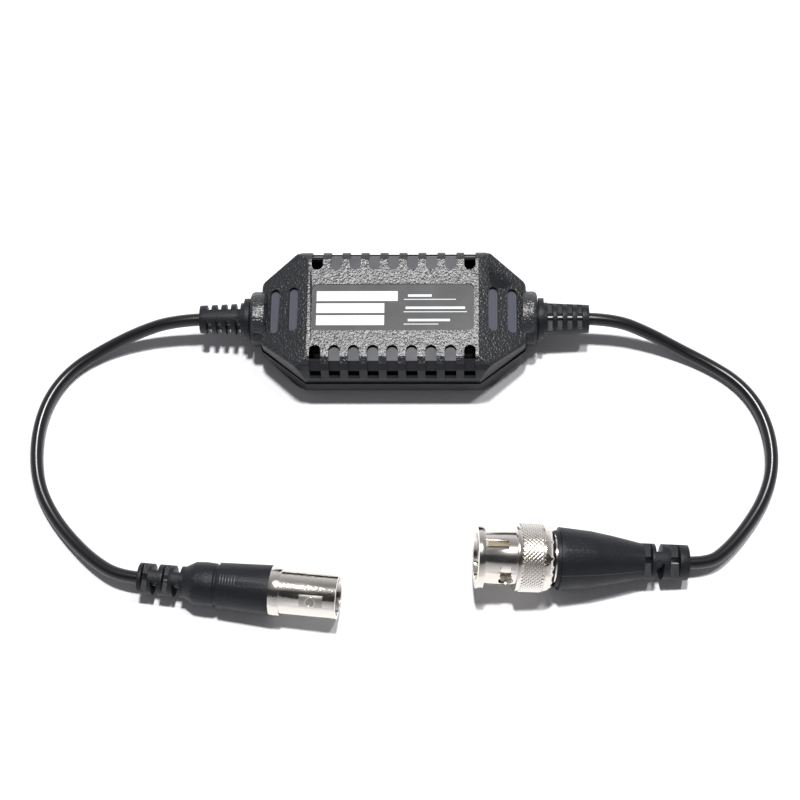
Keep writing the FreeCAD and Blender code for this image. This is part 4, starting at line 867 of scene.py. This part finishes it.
@dataclass
class Housing:
    """Both shells, the label, the strain reliefs and the films in the vents.

    Lengths are in millimetres, and the limits of a face's normal are parts of 1.
    """

    flat_end: float = 18.75
    flat_top: float = 14.4
    facet_fall: float = 0.32
    facet_lean: float = 0.2
    side_rise: float = 0.6
    level_rise: float = 0.9
    sill_out: float = 11.7
    sill_top: float = 13.6
    sill_end: float = 18.5
    slot_stations: tuple[float, float] = (22.0, 26.2)
    slot_half_width: float = 1.2
    slot_half_length: float = 5.2
    slot_rise: float = 0.8
    slot_depths: tuple[float, float] = (0.4, 1.4)
    vent_pitch: float = 4.21
    vent_round: float = 10.15
    vent_side: float = 12.25
    film_radius: float = 1.23
    film_top: float = 13.45
    film_thick: float = 0.25
    film_sides: int = 48
    film_reach: int = 3
    parts: list[Node] = field(default_factory=lambda: [
        Node("upper_shell", HOUSING, copy=True, angle=12.0),
        # The lower shell's darker colour is painted shade.
        Node("lower_shell", SHADED_LOWER, copy=True, angle=12.0),
        Node("label_plate", LABEL),
        Node("left_strain_relief", RUBBER, copy=True, bevel=0.12),
        Node("right_strain_relief", RUBBER, copy=True, bevel=0.12),
    ])

    def build(self, nodes: dict[str, bpy.types.Object]) -> None:
        """Dresses the housing's nodes and adds the films.

        Args:
            nodes: the CAD nodes by name.
        """
        shown = {part.name: part.dress(nodes) for part in self.parts}
        upper = shown["upper_shell"]
        # The sides' darker colour is painted shade.
        paint(upper, SMOOTH, lambda centre, normal: abs(normal.z) < self.side_rise)
        # Painted shade: the end facets are coloured darker than the flat top.
        paint(upper, SHADED_FACET, self.on_end_facet)
        paint(upper, LEDGE, self.on_sill)
        # Painted reflection: the slot floors are coloured light.
        paint(upper, PAINTED_SLOT_REFLECTION, self.on_slot_floor)
        self.vent_films()

    def on_end_facet(self, centre: Vector, normal: Vector) -> bool:
        """Whether a face belongs to a sloped facet at an end of the housing.

        Args:
            centre: the face's centre in millimetres.
            normal: its normal.

        Returns:
            True for the facets.
        """
        leans = normal.z >= self.side_rise and abs(normal.x) > self.facet_lean
        return leans and abs(centre.x) > self.flat_end

    def on_sill(self, centre: Vector, normal: Vector) -> bool:
        """Whether a face is a vent's sill at the long sides.

        Args:
            centre: the face's centre in millimetres.
            normal: its normal.

        Returns:
            True for the sills.
        """
        low = normal.z > self.level_rise and centre.z < self.sill_top
        return low and abs(centre.y) > self.sill_out and abs(centre.x) < self.sill_end

    def on_slot_floor(self, centre: Vector, normal: Vector) -> bool:
        """Whether a face is the floor of a blind slot on an end facet.

        Args:
            centre: the face's centre in millimetres.
            normal: its normal.

        Returns:
            True for the floors.
        """
        facet = self.flat_top - self.facet_fall * (abs(centre.x) - self.flat_end)
        near = min(abs(abs(centre.x) - station) for station in self.slot_stations)
        inside = near < self.slot_half_width and abs(centre.y) < self.slot_half_length
        least, most = self.slot_depths
        return inside and normal.z > self.slot_rise and least < facet - centre.z < most

    def vent_films(self) -> None:
        """Thin films let into the vents, the first and last vent of each edge being open."""
        deselect()
        middle = self.film_top - self.film_thick / 2
        reach = self.vent_side - self.vent_round
        bpy.ops.mesh.primitive_cylinder_add(vertices=self.film_sides,
                                            radius=self.film_radius * MM,
                                            depth=self.film_thick * MM,
                                            location=(0, self.vent_round * MM, middle * MM))
        piece = bpy.context.object
        piece.name = "vent_films"
        centre = (0, (self.vent_round + reach / 2) * MM, middle * MM)
        bpy.ops.mesh.primitive_cube_add(size=1.0, location=centre)
        strip = bpy.context.object
        strip.scale = (2 * self.film_radius * MM, reach * MM, self.film_thick * MM)
        settle(strip)
        settle(piece)
        union = piece.modifiers.new("strip", "BOOLEAN")
        union.operation, union.object = "UNION", strip
        only(piece)
        bpy.ops.object.modifier_apply(modifier=union.name)
        bpy.data.objects.remove(strip, do_unlink=True)
        places = []
        for turn in (0.0, 180.0):
            for number in range(-self.film_reach, self.film_reach + 1):
                shift = Matrix.Translation((number * self.vent_pitch * MM, 0, 0))
                places.append(shift @ Matrix.Rotation(math.radians(turn), 4, "Z"))
        repeat(piece, places)
        dressed(piece, FILM, Ride.ISOLATOR)


@dataclass
class Insides:
    """What the housing holds."""

    parts: list[Node] = field(default_factory=lambda: [
        Node("shrink_sleeve", SLEEVE, copy=True, angle=50.0),
        Node("circuit_board", BOARD),
        Node("toroid_core", FERRITE, copy=True),
        Node("primary_winding", COPPER, copy=True),
        Node("secondary_winding", COPPER, copy=True),
        Node("capacitor", CAPACITOR, copy=True),
        Node("left_core_wire", COPPER),
        Node("right_core_wire", COPPER),
        Node("left_braid_tail", COPPER),
        Node("right_braid_tail", COPPER),
        Node("left_cable_end", JACKET, copy=True),
        Node("right_cable_end", JACKET, copy=True),
    ])

    def build(self, nodes: dict[str, bpy.types.Object]) -> None:
        """Dresses the hidden nodes."""
        for part in self.parts:
            part.dress(nodes)


@dataclass
class Jack:
    """The BNC jack on the left lead: millimetres from its tail, and degrees of roll."""

    axis: Axis
    length: float = 43.0
    lug_station: float = 37.85
    lug_roll: float = 32.0
    lug_reach: float = 5.3
    lug_rim: float = 0.98
    lug_bead: float = 0.15
    lug_squash: float = 0.7
    lug_steps: tuple[int, int] = (40, 10)
    rib_start: float = 18.3
    rib_pitch: float = 0.62
    rib_count: int = 6
    rib_radius: float = 0.17
    rib_roll: float = -2.0
    rib_span: float = 26.0
    rib_steps: tuple[int, int] = (96, 8)
    rib_angle: float = 50.0
    grip_radius: float = 4.93
    parts: list[Node] = field(default_factory=lambda: [
        Node("jack_boot", RUBBER, copy=True, angle=28.0, bevel=0.15),
        Node("jack_shell", NICKEL, copy=True, bevel=0.08),
        Node("jack_insulator", DIELECTRIC, copy=True),
        Node("jack_contact", GILT, copy=True),
        Node("jack_ferrule", NICKEL, copy=True),
        Node("jack_cable_end", JACKET, copy=True),
    ])

    def build(self, nodes: dict[str, bpy.types.Object]) -> list[bpy.types.Object]:
        """Dresses the jack and adds its grip ribs and the rims of its lugs.

        Args:
            nodes: the CAD nodes by name.

        Returns:
            Every shown piece of the jack.
        """
        shown = [part.dress(nodes) for part in self.parts]
        self.pad_barrel(shown[1])
        return shown + [self.grip_ribs(), self.lug_rims()]

    def pad_barrel(self, shell: bpy.types.Object) -> None:
        """Gives the metal shell its dull pads round the lugs.

        Args:
            shell: the shown metal shell.
        """
        place = self.axis.matrix(self.lug_station - self.length, self.lug_roll)
        finish = PadFinish("padded_nickel", Slot.NICKEL, (0.80, 0.76, 0.70), roughness=0.15,
                           spread=0.10, metallic=1.0, grain_scale=2200.0, pebble=0.4,
                           relief=0.045, strength=0.6, centre=tuple(place.to_translation()),
                           turn=tuple(place.to_euler("XYZ")))
        shell.data.materials[0] = finish.material()

    def lug_rims(self) -> bpy.types.Object:
        """A flattened bead round the top of each bayonet lug.

        Returns:
            The beads as one piece.
        """
        deselect()
        major, minor = self.lug_steps
        bpy.ops.mesh.primitive_torus_add(major_segments=major, minor_segments=minor,
                                         major_radius=self.lug_rim * MM,
                                         minor_radius=self.lug_bead * MM)
        piece = bpy.context.object
        piece.name = "jack_lug_rims"
        bpy.ops.object.mode_set(mode="EDIT")
        bpy.ops.mesh.select_all(action="SELECT")
        bpy.ops.transform.resize(value=(1.0, 1.0, self.lug_squash))
        bpy.ops.object.mode_set(mode="OBJECT")
        move(piece, Matrix.Translation((0, 0, self.lug_reach * MM)))
        repeat(piece, [self.axis.matrix(self.lug_station - self.length, self.lug_roll + turn)
                       for turn in (0.0, 180.0)])
        only(piece)
        bpy.ops.object.shade_smooth()
        return dressed(piece, NICKEL, Ride.ISOLATOR)

    def grip_ribs(self) -> bpy.types.Object:
        """Short raised ribs across the upper side of the boot.

        Returns:
            The ribs as one piece.
        """
        deselect()
        major, minor = self.rib_steps
        bpy.ops.mesh.primitive_torus_add(major_segments=major, minor_segments=minor,
                                         major_radius=self.grip_radius * MM,
                                         minor_radius=self.rib_radius * MM)
        piece = bpy.context.object
        piece.name = "jack_grip_ribs"
        move(piece, Matrix.Rotation(math.radians(90), 4, "Y"))
        only(piece)
        half = math.radians(self.rib_span / 2)
        for side in (-1, 1):
            bpy.ops.object.mode_set(mode="EDIT")
            bpy.ops.mesh.select_all(action="SELECT")
            normal = (0, side * math.cos(half), -math.sin(half))
            bpy.ops.mesh.bisect(plane_co=(0, 0, 0), plane_no=normal, use_fill=True,
                                clear_outer=True)
            bpy.ops.object.mode_set(mode="OBJECT")
        stations = [self.rib_start + number * self.rib_pitch for number in range(self.rib_count)]
        repeat(piece, [self.axis.matrix(station - self.length, self.rib_roll)
                       for station in stations])
        only(piece)
        bpy.ops.object.shade_smooth_by_angle(angle=math.radians(self.rib_angle))
        # The ribs' lighter colour is a painted highlight.
        return dressed(piece, PAINTED_RIB_HIGHLIGHT, Ride.ISOLATOR)


@dataclass
class Plug:
    """The BNC plug on the right lead: millimetres from its nut's front, and degrees of roll.

    The seam's line is a row of stations and radii.
    """

    axis: Axis
    knurl_start: float = 8.9
    knurl_end: float = 13.6
    knurl_root: float = 7.0
    knurl_crest: float = 7.24
    knurl_pitch: float = 0.9
    knurl_tip: float = 0.2
    seam_roll: float = 48.0
    seam_radius: float = 0.07
    seam_around: int = 2
    seam_along: int = 8
    seam_line: tuple[tuple[float, float], ...] = (
        (17.5, 6.68), (21.0, 6.38), (24.2, 6.05), (26.6, 5.60), (29.1, 5.15), (32.2, 4.44),
        (34.9, 3.87),
    )
    parts: list[Node] = field(default_factory=lambda: [
        Node("plug_boot", RUBBER, copy=True, angle=28.0, bevel=0.15),
        Node("plug_body", NICKEL, copy=True, bevel=0.05),
        Node("plug_insulator", DIELECTRIC, copy=True),
        Node("plug_pin", GILT, copy=True),
        Node("plug_gasket", GASKET, copy=True),
        Node("plug_ferrule", NICKEL, copy=True),
        Node("plug_cable_end", JACKET, copy=True),
        Node("spring_washer", SPRING, copy=True),
        Node("thrust_washer", SPRING, Ride.CARRIER, copy=True),
        Node("coupling_nut", NICKEL, Ride.NUT, copy=True, bevel=0.06),
    ])

    def build(self, nodes: dict[str, bpy.types.Object]) -> list[bpy.types.Object]:
        """Dresses the plug and adds the knurl and the boot's seam.

        Args:
            nodes: the CAD nodes by name.

        Returns:
            Every shown piece of the plug.
        """
        shown = [part.dress(nodes) for part in self.parts]
        return shown + [self.knurl(), self.seam()]

    def knurl(self) -> bpy.types.Object:
        """Diamond knurl: one blunt pyramid repeated in staggered rows round the nut.

        Returns:
            The knurl as one piece.
        """
        deselect()
        height = self.knurl_crest - self.knurl_root
        around = int(round(2 * math.pi * self.knurl_root / self.knurl_pitch))
        step = 360.0 / around
        width = 2 * math.pi * self.knurl_root / around
        bpy.ops.mesh.primitive_cone_add(vertices=4, radius1=width * MM / 2,
                                        radius2=self.knurl_tip * width * MM,
                                        depth=height * MM, end_fill_type="TRIFAN")
        piece = bpy.context.object
        piece.name = "nut_knurl"
        piece.location = (0, 0, (self.knurl_root + height / 2) * MM)
        settle(piece)
        rows = int((self.knurl_end - self.knurl_start) / (width / 2))
        places = []
        for row in range(rows):
            station = self.knurl_start + width / 2 + row * width / 2
            for number in range(around):
                places.append(self.axis.matrix(station, (number + row % 2 / 2) * step))
        repeat(piece, places)
        # The knurl's brighter colour is a painted highlight.
        return dressed(piece, PAINTED_KNURL_HIGHLIGHT, Ride.NUT)

    def seam(self) -> bpy.types.Object:
        """The mould's parting line along the boot.

        Returns:
            The seam.
        """
        places = [tuple(self.axis.matrix(station, self.seam_roll) @ Vector((0, 0, radius * MM)))
                  for station, radius in self.seam_line]
        piece = spline("plug_boot_seam", places, self.seam_radius * MM, self.seam_around,
                       self.seam_along)
        only(piece)
        bpy.ops.object.convert(target="MESH")
        piece = bpy.context.object
        bpy.ops.object.shade_smooth()
        # The seam's lighter colour is a painted highlight.
        return dressed(piece, PAINTED_RIB_HIGHLIGHT, Ride.ISOLATOR)


def axis_of_mount(record: dict, name: str) -> Axis:
    """The axis that a mount of the record states."""
    mount = next(item for item in record["mounts"] if item["name"] == name)
    return Axis(Vector(mount["pos_m"]), Vector(mount["axis"]).normalized())


def axis_of_joint(joints: list[dict], name: str) -> Axis:
    """The axis that a hinge of the record turns about."""
    joint = next(item for item in joints if item["name"] == name)
    return Axis(Vector(joint["pos_m"]), Vector(joint["axis"]).normalized())


def main() -> None:
    """Builds the looks in order."""
    logging.basicConfig(level=logging.INFO, format="%(message)s")
    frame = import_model()
    nodes = frame["nodes"]
    Studio().build()
    jack_pieces = Jack(axis_of_mount(frame["record"], "jack_coupling")).build(nodes)
    plug_pieces = Plug(axis_of_joint(frame["joints"], "coupling_turn")).build(nodes)
    Leads().build(jack_pieces, plug_pieces)
    Housing().build(nodes)
    Insides().build(nodes)


if __name__ == "__main__":
    main()
